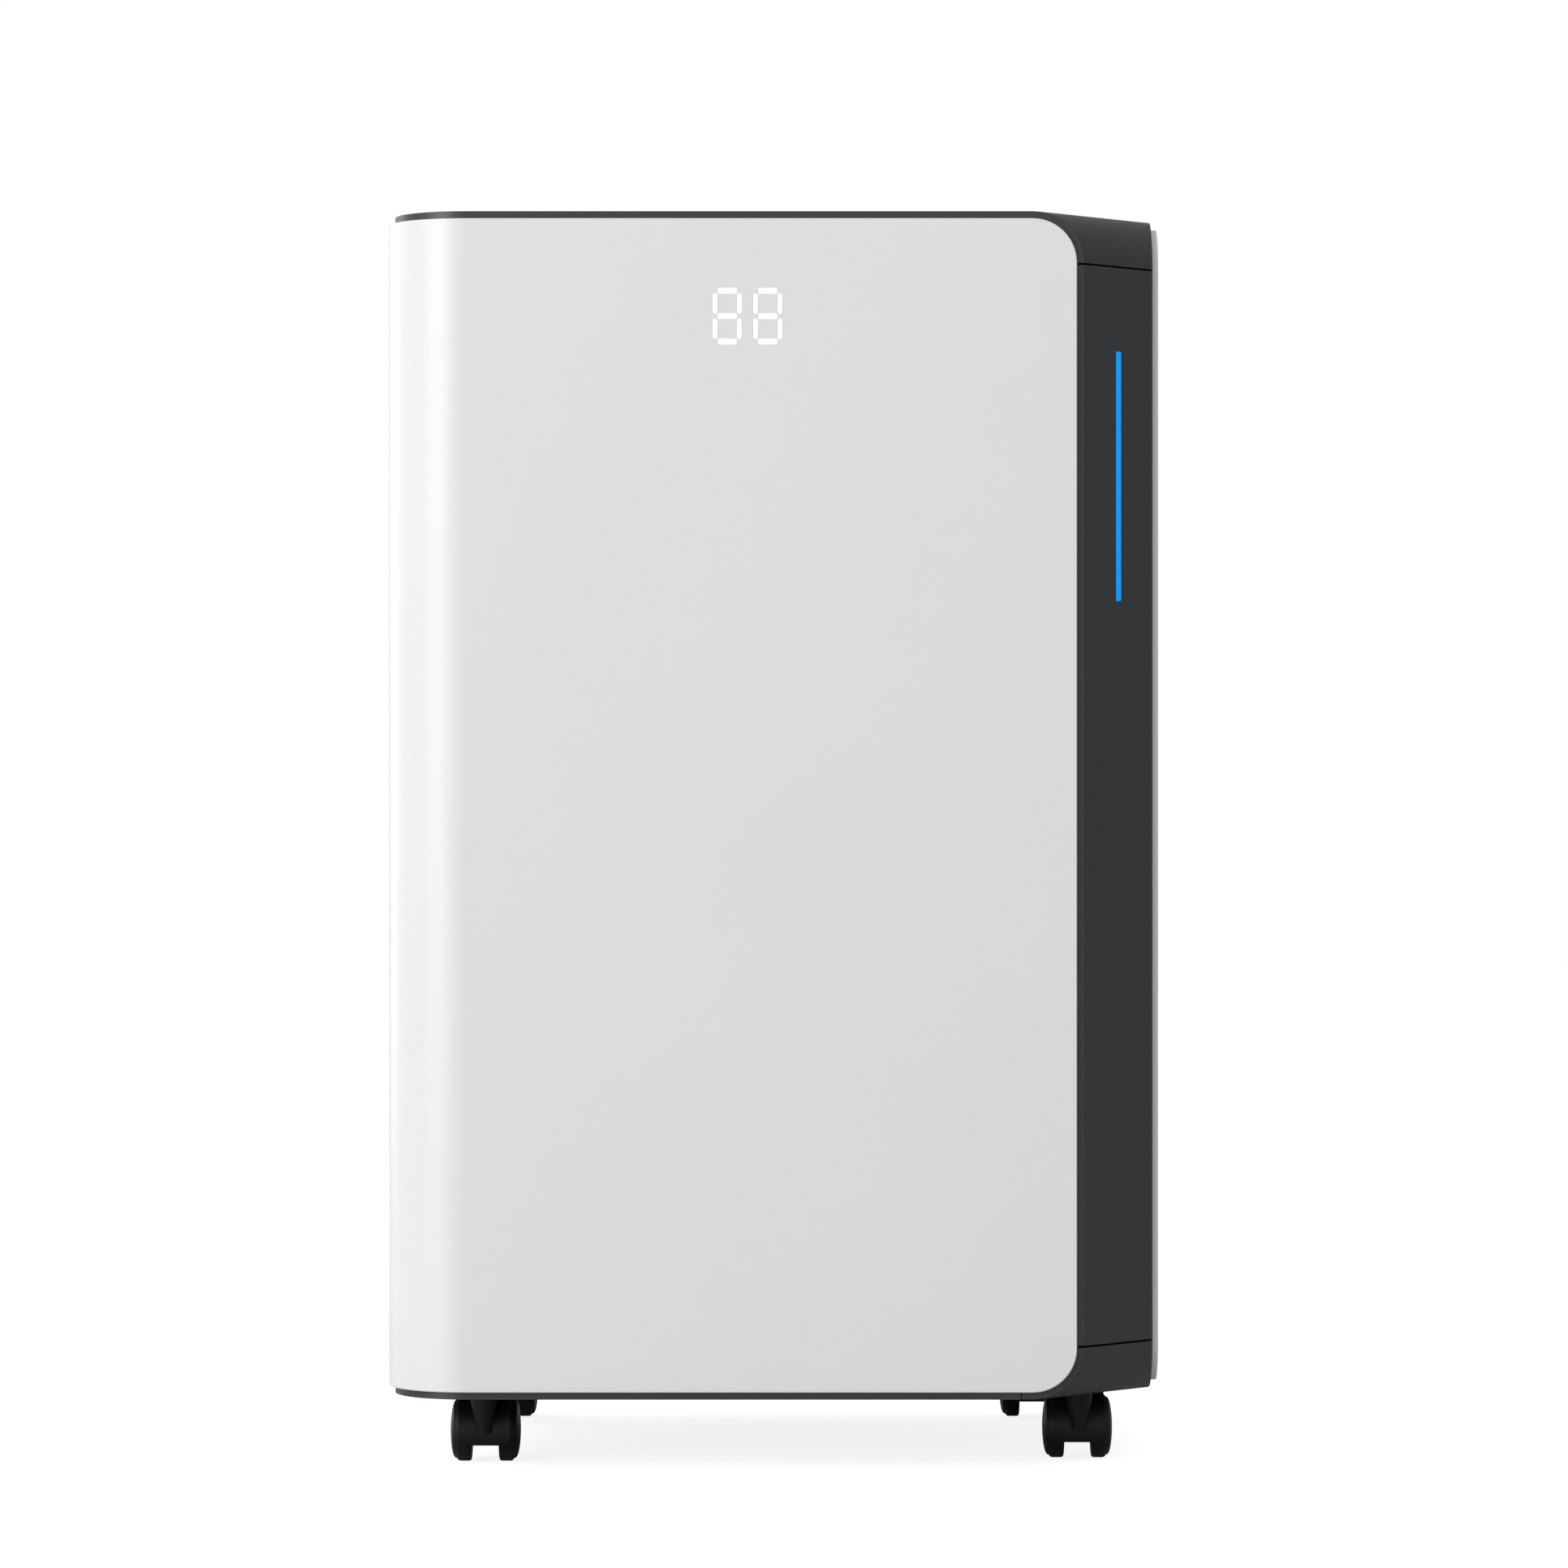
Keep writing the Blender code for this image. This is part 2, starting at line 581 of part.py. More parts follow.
def build_vanes():
    for i in range(VANE_COUNT):
        centre = vane_centre(i)
        half = VANE_CHORD / 2
        outline = [
            (centre[1] - half, VANE_Z - 0.0004), (centre[1], VANE_Z - 0.0018), (centre[1] + half, VANE_Z - 0.0004),
            (centre[1] + half, VANE_Z + 0.0004), (centre[1], VANE_Z + 0.0018), (centre[1] - half, VANE_Z + 0.0004),
        ]
        blade = prism(outline, "X", -OUTLET_X + 0.0005, OUTLET_X - 0.0005)
        vane = add_piece(f"louver_vane_{i + 1}", blade, dark_abs, centre)
        for side in (-1, 1):
            length = 0.0052 if (side > 0 and i == 0) else 0.0022
            ends = sorted((side * (OUTLET_X - 0.003), side * (OUTLET_X + length)))
            join(vane, rod(VANE_PIN_RADIUS, "X", (0, centre[1], VANE_Z), *ends, 12))
    y = vane_centre(0)[1]
    start = OUTLET_X + 0.0025 + GAP
    # The motor's shaft hole is off its middle, so the can clears the roof.
    radius = VANE_MOTOR_RADIUS
    can = [(radius, start), (radius, start + 0.014), (0.003, start + 0.014), (0.003, start + 0.016)]
    motor_z = HEIGHT - WALL - radius - 0.002
    motor = add_piece("louver_motor", turned(can, "X", (0, y, motor_z)), steel)
    cut(motor, rod(VANE_PIN_RADIUS + GAP, "X", (0, y, VANE_Z), start - 0.01, start + 0.004, 12))


def build_controls():
    top = HEIGHT
    plate_outline = rounded_box_outline(
        (CONTROL_X[0], CONTROL_FRONT), (CONTROL_X[1], CONTROL_FRONT + CONTROL_DEPTH), 0.0037
    )
    plate = add_piece("control_plate", prism(plate_outline, "Z", top - PLATE_THICKNESS, top), gloss_black)
    holes = []
    board_z = HEIGHT - CONTROL_FRAME_DEPTH - GAP - BOARD_THICKNESS
    board = add_piece(
        "control_board",
        block(
            (CONTROL_X[0] - LEDGE, CONTROL_FRONT - LEDGE, board_z),
            (CONTROL_X[1] + LEDGE, CONTROL_FRONT + CONTROL_DEPTH + LEDGE, board_z + BOARD_THICKNESS),
        ),
        circuit_board,
    )
    for name, (x, y) in button_centres().items():
        holes.append(rod(BUTTON_RADIUS + GAP, "Z", (x, y, 0), top - 0.01, top + 0.01, 20))
        foot = top - PLATE_THICKNESS - GAP - 0.0015
        profile = [
            (BUTTON_RADIUS + 0.0015, foot), (BUTTON_RADIUS + 0.0015, foot + 0.0015), (BUTTON_RADIUS, foot + 0.0015),
            (BUTTON_RADIUS, top - 0.0004), (BUTTON_RADIUS - 0.0004, top),
        ]
        add_piece(f"button_{name}", turned(profile, "Z", (x, y, 0), 20), gloss_black, (x, y, top))
        join(board, rod(0.003, "Z", (x, y, 0), board_z + 0.001, foot - BUTTON_TRAVEL_ROOM, 12))
    cut(plate, *holes)


def build_display():
    back = -BODY_Y
    middle_z = HEIGHT - DIGIT_DROP - DIGIT_HEIGHT / 2
    half_x = DIGIT_PITCH / 2 + DIGIT_WIDTH / 2 + 0.003
    half_z = min(DIGIT_HEIGHT / 2 + 0.003, COVER_BOTTOM - middle_z - 0.0005)
    pad = block((DIGIT_CENTRE - half_x, back, middle_z - half_z), (DIGIT_CENTRE + half_x, back + 0.002, middle_z + half_z))
    guide = add_piece("digit_guide", pad, lit_white)
    bars = [prism(points, "Y", -DEPTH / 2, back + 0.001) for points in segment_outlines(GAP)]
    apply_tool(guide, merged(*bars), "UNION")
    front = back + 0.002 + GAP
    board = block(
        (DIGIT_CENTRE - half_x - 0.006, front, middle_z - half_z - 0.012),
        (DIGIT_CENTRE + half_x + 0.006, front + BOARD_THICKNESS, middle_z + half_z),
    )
    display = add_piece("display_board", board, circuit_board)
    socket = block(
        (DIGIT_CENTRE - 0.008, front + 0.001, middle_z - half_z - 0.010),
        (DIGIT_CENTRE + 0.008, front + 0.008, middle_z - half_z - 0.004),
    )
    join(display, socket)


# ---- inside -------------------------------------------------------------------------
DRAIN_CAP_RADIUS = 0.009
SPOUT_RADIUS = 0.007
SPOUT_BORE = 0.0042
DECK_INSET = WALL + GAP
DECK_END = COIL_X + 0.010
TANK_STEP_Y = DEPTH / 2 - 0.026  # the tank's top ends here, to leave a grip behind its panel
FLOAT_DROP = math.radians(20)
FLOAT_PIN_RADIUS = 0.0015
INLET_CORNER = 0.003
FAN_BORE = 0.004
TUBE_RADIUS = 0.004


def drain_place():
    return ((BAY_RIGHT + DECK_END) / 2, 0.0, DECK_TOP + 0.0015)


def drip_place():
    """Water falls here, through the deck and the tank's lid."""
    return ((TANK_LEFT + TANK_RIGHT) / 2, TANK_STEP_Y - 0.016, 0.0)


def inlet_face():
    x = COMPRESSOR_X
    z = BASE_TOP + 0.022
    return (x - 0.024, z - 0.014), (x + 0.024, z + 0.014)


def build_deck():
    """The drip tray above the tank bay, with the bay's three walls down to the base."""
    outline = body_outline(DECK_INSET)
    deck = add_piece("mid_deck", prism(outline, "Z", DECK_BOTTOM, DECK_TOP), grey_abs)
    cut(deck, block((DECK_END, -DEPTH, DECK_BOTTOM - 0.01), (WIDTH, DEPTH, DECK_TOP + 0.01)))
    cut(deck, rod(0.006, "Z", drip_place(), DECK_BOTTOM - 0.01, DECK_TOP + 0.01, 12))
    foot = BASE_FLOOR + GAP
    top = DECK_BOTTOM + 0.001
    back = INNER_Y - GAP
    bay_front = TANK_FRONT - BAY_ROOM
    left = TANK_LEFT - BAY_ROOM
    shelf = TANK_BOTTOM - GAP
    join(
        deck,
        block((BAY_RIGHT, bay_front - WALL, foot), (BAY_RIGHT + WALL, back, top)),
        block((left - WALL, bay_front - WALL, shelf - WALL), (left, back, top)),
        block((left - WALL, bay_front - WALL, foot), (BAY_RIGHT + WALL, bay_front, top)),
        block((left - WALL / 2, bay_front - WALL / 2, shelf - WALL), (BAY_RIGHT + WALL / 2, back, shelf)),
    )
    x, _, z = drain_place()
    join(deck, block((x - 0.012, EVAPORATOR_Y + COIL_DEPTH + 0.003, DECK_TOP - 0.001), (x + 0.012, back, DECK_TOP + 0.004)))
    spout_end = BODY_Y - 0.002
    join(deck, rod(SPOUT_RADIUS, "Y", (x, 0, z), back - 0.003, spout_end, 20))
    cut(deck, rod(SPOUT_BORE, "Y", (x, 0, z), back - 0.006, DEPTH, 16))
    cap_start = spout_end + GAP
    profile = [
        (SPOUT_BORE - GAP, cap_start - 0.005), (SPOUT_BORE - GAP, cap_start), (DRAIN_CAP_RADIUS, cap_start),
        (DRAIN_CAP_RADIUS, DEPTH / 2 - 0.001), (DRAIN_CAP_RADIUS - 0.001, DEPTH / 2),
    ]
    add_piece("drain_cap", turned(profile, "Y", (x, 0, z), 24), dark_abs, (x, DEPTH / 2, z))


def build_tank():
    """Open-topped tank with a pull recess behind its outer panel, its lid and its float."""
    step_z = TANK_TOP - 0.040
    step_y = TANK_STEP_Y
    lid_z = TANK_TOP - 0.003
    outer_y = BODY_Y - GAP
    outline = [
        (TANK_FRONT, TANK_BOTTOM), (outer_y, TANK_BOTTOM), (outer_y, step_z),
        (step_y, step_z), (step_y, lid_z - GAP), (TANK_FRONT, lid_z - GAP),
    ]
    tank = add_piece("water_tank", prism(outline, "X", TANK_LEFT, TANK_RIGHT), clear_grey)
    wall = TANK_WALL
    hollow = [
        (TANK_FRONT + wall, TANK_BOTTOM + wall), (outer_y - wall, TANK_BOTTOM + wall), (outer_y - wall, step_z - wall),
        (step_y - wall, step_z - wall), (step_y - wall, TANK_TOP + 0.01), (TANK_FRONT + wall, TANK_TOP + 0.01),
    ]
    cut(tank, prism(hollow, "X", TANK_LEFT + wall, TANK_RIGHT - wall))
    face = rounded_box_outline((TANK_LEFT, TANK_BOTTOM), (TANK_RIGHT, TANK_TOP), TANK_CORNER)
    keep(tank, prism(face, "Y", -DEPTH, DEPTH))

    panel = add_piece("tank_panel", prism(face, "Y", BODY_Y, DEPTH / 2), white_abs)
    middle = (TANK_LEFT + TANK_RIGHT) / 2
    grip = rounded_box_outline((middle - 0.036, step_z + 0.006), (middle + 0.036, TANK_TOP - 0.010), 0.006)
    cut(panel, prism(grip, "Y", 0, DEPTH))

    lid = add_piece(
        "tank_lid", block((TANK_LEFT, TANK_FRONT, lid_z), (TANK_RIGHT, step_y, TANK_TOP)), grey_abs
    )
    keep(lid, prism(face, "Y", -DEPTH, DEPTH))
    cut(lid, rod(0.012, "Z", drip_place(), lid_z - 0.01, TANK_TOP + 0.01, 20))
    pin = (middle, TANK_FRONT + 0.030, lid_z - 0.010)
    for side in (-1, 1):
        ends = sorted((middle + side * 0.0085, middle + side * 0.0115))
        ear = [(pin[1] - 0.005, lid_z + 0.001), (pin[1] - 0.005, pin[2]), (pin[1], pin[2] - 0.005)]
        ear += [(pin[1] + 0.005, pin[2]), (pin[1] + 0.005, lid_z + 0.001)]
        join(lid, prism(ear, "X", *ends))
    cut(lid, rod(FLOAT_PIN_RADIUS + GAP, "X", pin, -0.013, 0.013, 12))

    arm = block((middle - 0.003, pin[1] - 0.002, pin[2] - 0.002), (middle + 0.003, pin[1] + 0.045, pin[2] + 0.002))
    bob = turned([(0.016, -0.014), (0.018, -0.010), (0.018, 0.0)], "Z", (middle, pin[1] + 0.056, pin[2]))
    for shape in (arm, bob):
        bmesh.ops.rotate(shape, verts=shape.verts, cent=pin, matrix=Matrix.Rotation(-FLOAT_DROP, 3, "X"))
    tank_float = add_piece("tank_float", arm, float_foam, pin)
    join(tank_float, bob, rod(FLOAT_PIN_RADIUS, "X", pin, -0.0112, 0.0112, 12))


def build_air_path():
    housing_radius = FAN_RADIUS + 0.015
    wall = 0.0025
    high = COVER_BOTTOM - 0.0008
    outline = arc((0, FAN_Z), housing_radius, 180, 360, 16) + [(housing_radius, high), (-housing_radius, high)]
    housing = add_piece("fan_housing", prism(outline, "Y", HOUSING_FRONT, HOUSING_BACK), grey_abs)
    for side in (-1, 1):
        ends = sorted((side * 0.050, side * 0.062))
        join(housing, block((ends[0], HOUSING_FRONT, DECK_TOP + GAP), (ends[1], HOUSING_BACK, FAN_Z - FAN_RADIUS * 0.8)))
    hollow = arc((0, FAN_Z), housing_radius - wall, 180, 360, 16)
    hollow += [(housing_radius - wall, high + 0.01), (wall - housing_radius, high + 0.01)]
    cut(housing, prism(hollow, "Y", HOUSING_FRONT + wall, HOUSING_BACK - wall))
    intake = rod(FAN_RADIUS * 0.75, "Y", (0, 0, FAN_Z), HOUSING_BACK - 0.01, HOUSING_BACK + 0.01, 24)
    shaft_hole = rod(0.008, "Y", (0, 0, FAN_Z), HOUSING_FRONT - 0.01, HOUSING_FRONT + 0.01, 16)
    cut(housing, intake, shaft_hole)

    centre = (0, 0, FAN_Z)
    wheel_front = HOUSING_FRONT + wall + 0.004
    wheel_back = HOUSING_BACK - wall - 0.004
    plate = 0.002
    hub = [
        (FAN_BORE + GAP, wheel_front), (FAN_RADIUS, wheel_front), (FAN_RADIUS, wheel_front + plate),
        (0.010, wheel_front + plate), (0.010, wheel_front + 0.012), (FAN_BORE + GAP, wheel_front + 0.012),
    ]
    wheel = add_piece("fan_wheel", turned(hub, "Y", centre, 20, loop=True), grey_abs, (0, wheel_front, FAN_Z))
    blades = []
    for i in range(12):
        blade = block(
            (FAN_RADIUS - 0.016, wheel_front + 0.001, -0.0009), (FAN_RADIUS - 0.001, wheel_back - 0.001, 0.0009)
        )
        bmesh.ops.rotate(blade, verts=blade.verts, matrix=Matrix.Rotation(math.tau * i / 12, 3, "Y"))
        blades.append(shift(blade, centre))
    apply_tool(wheel, merged(*blades), "UNION")
    rim = [
        (FAN_RADIUS - 0.017, wheel_back - plate), (FAN_RADIUS, wheel_back - plate),
        (FAN_RADIUS, wheel_back), (FAN_RADIUS - 0.017, wheel_back),
    ]
    join(wheel, turned(rim, "Y", centre, 20, loop=True))

    motor_back = HOUSING_FRONT - GAP
    profile = [
        (0.030, motor_back - 0.045), (0.040, motor_back - 0.040), (0.042, motor_back - 0.008), (0.042, motor_back),
        (0.0075, motor_back), (0.0075, motor_back + 0.002), (FAN_BORE, motor_back + 0.002),
        (FAN_BORE, wheel_front + 0.011),
    ]
    add_piece("fan_motor", turned(profile, "Y", centre, 24), steel)


def build_coil(name, front, finish):
    """A finned block with its end plates and the return bends of its tubes on the left."""
    coil = add_piece(name, block((-COIL_X, front, COIL_BOTTOM), (COIL_X, front + COIL_DEPTH, COIL_TOP)), finish)
    count = 5
    pitch = (COIL_TOP - COIL_BOTTOM) / count
    bends = []
    for i in range(count):
        z = COIL_BOTTOM + pitch * (i + 0.5)
        path = arc((-COIL_X + 0.001, z), pitch / 4, 90, 270, 4)
        rings = []
        for step, (x, pz) in enumerate(path):
            angle = math.radians(90 + 180 * step / 4)
            ring = []
            for k in range(6):
                turn = math.tau * k / 6
                out = TUBE_RADIUS * math.cos(turn)
                across = TUBE_RADIUS * math.sin(turn)
                ring.append((x + out * math.cos(angle), front + COIL_DEPTH / 2 + across, pz + out * math.sin(angle)))
            rings.append(ring)
        bends.append(loft(rings))
    apply_tool(coil, merged(*bends), "UNION")


def build_filter_door():
    front = BODY_Y
    back = DEPTH / 2
    radius = (back - front) / 2
    pivot = (0.0, (front + back) / 2, DOOR_BOTTOM + radius)
    side = [(front, DOOR_TOP)] + [(pivot[1] - radius, pivot[2])]
    side += arc((pivot[1], pivot[2]), radius, 180, 360, 8)[1:-1]
    side += [(pivot[1] + radius, pivot[2]), (back, DOOR_TOP)]
    door = add_piece("filter_door", prism(side, "X", -DOOR_X, DOOR_X), white_abs, pivot)
    # Grille slots, in two bays.
    slots = []
    rows = 12
    low = DOOR_BOTTOM + 0.018
    high = DOOR_TOP - 0.030
    pitch = (high - low) / rows
    bay = (DOOR_X * 2 - 0.028) / 2
    for column in range(2):
        x = -DOOR_X + 0.014 + column * bay
        for row in range(rows):
            z = low + row * pitch
            slots.append(block((x + 0.002, front - 0.01, z), (x + bay - 0.002, back + 0.01, z + pitch * 0.55)))
    grip = prism(rounded_box_outline((-0.030, DOOR_TOP - 0.021), (0.030, DOOR_TOP - 0.009), 0.005), "Y", front - 0.01, back + 0.01)
    cut(door, *slots, grip)

    filter_back = front - GAP
    filter_front = EVAPORATOR_Y + COIL_DEPTH + 0.002
    low_z = DOOR_BOTTOM + 0.008
    high_z = DOOR_TOP - 0.028
    frame = add_piece(
        "air_filter", block((-DOOR_X + 0.008, filter_front, low_z), (DOOR_X - 0.008, filter_back, high_z)), grey_abs, pivot
    )
    pocket = block(
        (-DOOR_X + 0.014, filter_front + 0.003, low_z + 0.006), (DOOR_X - 0.014, filter_back + 0.01, high_z - 0.006)
    )
    cut(frame, pocket)


def height_on(profile, radius):
    """Height of a turned profile, which narrows as it rises, at a radius."""
    for (wide, low), (narrow, high) in zip(profile, profile[1:]):
        if narrow <= radius <= wide and wide > narrow:
            return low + (high - low) * (wide - radius) / (wide - narrow)
    return profile[-1][1]


def build_compressor():
    x, y = COMPRESSOR_X, COMPRESSOR_Y
    foot_low = BASE_FLOOR + GAP
    plate_low = foot_low + 0.016
    radius = COMPRESSOR_RADIUS
    profile_above = [
        (radius, plate_low + 0.150), (radius * 0.80, plate_low + 0.166),
        (radius * 0.45, plate_low + 0.172), (0.0, plate_low + 0.174),
    ]
    profile = [(radius * 0.6, plate_low), (radius, plate_low + 0.012)] + profile_above
    body = add_piece("compressor", turned(profile, "Z", (x, y, 0), 24), black_enamel)
    arm_length = radius + 0.004
    feet = []
    for i in range(3):
        angle = math.radians(90 + 120 * i + 60)
        feet.append((x + arm_length * 0.86 * math.cos(angle), y + arm_length * 0.86 * math.sin(angle)))
    outline = []
    for fx, fy in feet:
        heading = math.degrees(math.atan2(fy - y, fx - x))
        outline += arc((fx, fy), 0.011, heading - 60, heading + 60, 4)
    join(body, prism(outline, "Z", plate_low, plate_low + 0.003))
    holes = [rod(0.004 + GAP, "Z", (fx, fy, 0), plate_low - 0.01, plate_low + 0.004, 12) for fx, fy in feet]
    cut(body, *holes)
    for i, (fx, fy) in enumerate(feet):
        profile = [(0.010, foot_low), (0.010, plate_low - GAP), (0.004, plate_low - GAP), (0.004, plate_low + 0.003)]
        add_piece(f"compressor_foot_{i + 1}", turned(profile, "Z", (fx, fy, 0), 16), rubber)
    # Copper tubes rise beside the deck, where it stops short of the right wall.
    pipe_x = INNER_X - 0.024
    top = plate_low + 0.150
    discharge_radius = 0.003
    port_offset = DECK_END + discharge_radius + 0.001 - x
    port_height = height_on(profile_above, port_offset - discharge_radius) + GAP
    start = (x + port_offset, y, port_height)
    condenser_mid = CONDENSER_Y + COIL_DEPTH / 2
    evaporator_mid = EVAPORATOR_Y + COIL_DEPTH / 2
    end_x = COIL_X + GAP
    add_pipe(
        "discharge_pipe",
        [start, (start[0], start[1], DECK_BOTTOM + 0.004), (pipe_x, start[1], DECK_TOP + 0.030),
         (pipe_x, condenser_mid, COIL_BOTTOM + 0.060), (end_x, condenser_mid, COIL_BOTTOM + 0.060)],
        discharge_radius, 0.010, copper,
    )
    outward = Vector((math.cos(math.radians(30)), math.sin(math.radians(30)), 0))
    port = Vector((x, y, top - 0.030)) + outward * (radius + GAP)
    elbow = port + outward * 0.0125
    add_pipe(
        "suction_pipe",
        [port, elbow, (elbow.x, elbow.y, DECK_TOP + 0.120),
         (pipe_x + 0.004, evaporator_mid, DECK_TOP + 0.150), (end_x, evaporator_mid, DECK_TOP + 0.150)],
        TUBE_RADIUS, 0.010, copper,
    )


def build_electrics():
    back = TANK_FRONT - BAY_ROOM - WALL - GAP
    left = TANK_LEFT - 0.006
    box = add_piece(
        "power_box", block((left, back - 0.040, BASE_TOP), (left + 0.120, back, BASE_TOP + 0.150)), grey_abs
    )
    lugs = [
        block((left - 0.008, back - 0.004, BASE_TOP + z), (left + 0.002, back, BASE_TOP + z + 0.012))
        for z in (0.015, 0.120)
    ]
    join(box, *lugs)
    base = BASE_FLOOR + GAP
    centre = (COMPRESSOR_X - 0.030, COMPRESSOR_Y - COMPRESSOR_RADIUS - 0.035, 0)
    profile = [(0.0175, base), (0.0175, base + 0.070), (0.0155, base + 0.073), (0.004, base + 0.073), (0.004, base + 0.080)]
    add_piece("run_capacitor", turned(profile, "Z", centre, 20), steel)

    low, high = inlet_face()
    face = rounded_box_outline(low, high, INLET_CORNER, 2)
    body = add_piece("power_inlet", prism(face, "Y", BODY_Y - 0.020, DEPTH / 2), gloss_black)
    x = (low[0] + high[0]) / 2
    z = (low[1] + high[1]) / 2
    mouth = [
        (x - 0.0125, z - 0.0085), (x + 0.0125, z - 0.0085), (x + 0.0125, z + 0.004),
        (x + 0.008, z + 0.0085), (x - 0.008, z + 0.0085), (x - 0.0125, z + 0.004),
    ]
    cut(body, prism(mouth, "Y", DEPTH / 2 - 0.017, DEPTH))
    pins = []
    for px, pz in ((x, z + 0.0025), (x - 0.007, z - 0.0025), (x + 0.007, z - 0.0025)):
        pins.append(block((px - 0.001, DEPTH / 2 - 0.019, pz - 0.002), (px + 0.001, DEPTH / 2 - 0.003, pz + 0.002)))
    apply_tool(body, merged(*pins), "UNION")


# ---- casters ------------------------------------------------------------------------
def build_casters():
    for name, (x, y) in CASTERS.items():
        stem = (x, y - CASTER_TRAIL)
        wheel_z = WHEEL_RADIUS
        top = FLOOR_GAP - 0.0015 - GAP
        web_half = WHEEL_SPACE / 2 - GAP
        outer = min(WHEEL_RADIUS + 0.0028, top - wheel_z)
        web = arc((y, wheel_z), outer, 40, 200, 8)
        web += [(y - 0.004, wheel_z - 0.0073), (y + 0.006, wheel_z - 0.0060)]
        fork = add_piece(
            f"caster_{name}_fork", prism(web, "X", x - web_half, x + web_half), caster_nylon, (*stem, 0)
        )
        hood = arc((y, wheel_z), outer, 40, 200, 8) + arc((y, wheel_z), WHEEL_RADIUS + 0.0008, 200, 40, 8)
        join(fork, prism(hood, "X", x - HOOD_WIDTH / 2, x + HOOD_WIDTH / 2))
        neck = [
            (0.00325, wheel_z), (0.0050, top - 0.004), (0.0062, top - 0.002), (0.0062, top), (STEM_RADIUS, top),
            (STEM_RADIUS, FLOOR_GAP + SOCKET_HEIGHT - WALL - 0.001),
        ]
        join(fork, turned(neck, "Z", (*stem, 0), 16))
        tread = WHEEL_SPACE / 2
        reach = tread + WHEEL_WIDTH
        join(fork, rod(AXLE_RADIUS, "X", (x, y, wheel_z), -reach + 0.004, reach - 0.004, 12))
        profile = [
            (AXLE_RADIUS + GAP, tread), (WHEEL_RADIUS - 0.001, tread), (WHEEL_RADIUS, tread + 0.001),
            (WHEEL_RADIUS, tread + 0.0058), (WHEEL_RADIUS - 0.0012, tread + 0.0072),
            (WHEEL_RADIUS - 0.005, reach - 0.0009), (0.0, reach), (0.0, reach - 0.003), (AXLE_RADIUS + GAP, reach - 0.003),
        ]
        for side, sign in (("left", -1), ("right", 1)):
            sided = [(radius, sign * along) for radius, along in profile]
            wheel = turned_with_blind_bore(sided, (x, y, wheel_z))
            add_piece(f"caster_{name}_wheel_{side}", wheel, caster_tyre, (x, y, wheel_z))


def turned_with_blind_bore(profile, centre, segments=16):
    """A wheel: its profile runs from the bore's mouth, over the tread and the dome, to the bore's floor."""
    outside = profile[:7]
    floor = profile[7:]
    rings = []
    for radius, height in outside + floor:
        if radius == 0:
            rings.append([(centre[0] + height, centre[1], centre[2])])
            continue
        points = arc((centre[1], centre[2]), radius, 0, 360, segments)[:-1]
        rings.append([(centre[0] + height, py, pz) for py, pz in points])
    skin = rings[:7]
    bore = [rings[0], rings[8], rings[7]]
    wheel = bmesh.new()
    for stack in (skin, bore):
        made = [[wheel.verts.new(point) for point in ring] for ring in stack]
        for below, above in zip(made, made[1:]):
            for i in range(segments):
                j = (i + 1) % segments
                corners = [below[i], below[j], above[j % len(above)], above[i % len(above)]]
                wheel.faces.new(list(dict.fromkeys(corners)))
    bmesh.ops.remove_doubles(wheel, verts=wheel.verts, dist=1e-7)
    bmesh.ops.recalc_face_normals(wheel, faces=wheel.faces)
    return wheel


clear_scene()
dark_abs = make_material("dark grey moulded ABS", (0.040, 0.042, 0.044), 0.45)
white_abs = make_material("white moulded ABS", (0.72, 0.72, 0.72), 0.40)
grey_abs = make_material("grey moulded ABS", (0.35, 0.36, 0.37), 0.5)
soft_black = make_material("black soft-touch grip", (0.03, 0.03, 0.03), 0.7)
gloss_black = make_material("gloss black ABS", (0.012, 0.012, 0.013), 0.15)
blue_guide = make_material("blue lit acrylic", (0.0, 0.32, 0.98), 0.2)
lit_white = make_material("lit white acrylic", (0.95, 0.95, 0.95), 0.3)
circuit_board = make_material("circuit board", (0.02, 0.16, 0.06), 0.5)
steel = make_material("plated steel", (0.55, 0.56, 0.57), 0.35, 1.0)
black_enamel = make_material("black enamelled steel", (0.02, 0.02, 0.02), 0.35)
copper = make_material("copper", (0.72, 0.32, 0.18), 0.3, 1.0)
fins = make_material("aluminium fins", (0.70, 0.71, 0.72), 0.4, 1.0)
clear_grey = make_material("smoked polypropylene", (0.30, 0.32, 0.34), 0.25)
float_foam = make_material("float foam", (0.85, 0.85, 0.82), 0.8)
rubber = make_material("rubber", (0.02, 0.02, 0.02), 0.9)
caster_nylon = make_material("black nylon", (0.018, 0.018, 0.019), 0.5)
caster_tyre = make_material("dark nylon tread", (0.022, 0.022, 0.023), 0.4)

build_base()
build_shells()
build_corner_panels()
build_top_cover()
build_handle()
build_vanes()
build_controls()
build_display()
build_deck()
build_tank()
build_air_path()
build_coil("condenser_coil", CONDENSER_Y, fins)
build_coil("evaporator_coil", EVAPORATOR_Y, fins)
build_filter_door()
build_compressor()
build_electrics()
build_casters()
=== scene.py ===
# Dehumidifier on casters: the visible pieces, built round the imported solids.
import math

import bmesh
import bpy
from mathutils import Matrix, Vector


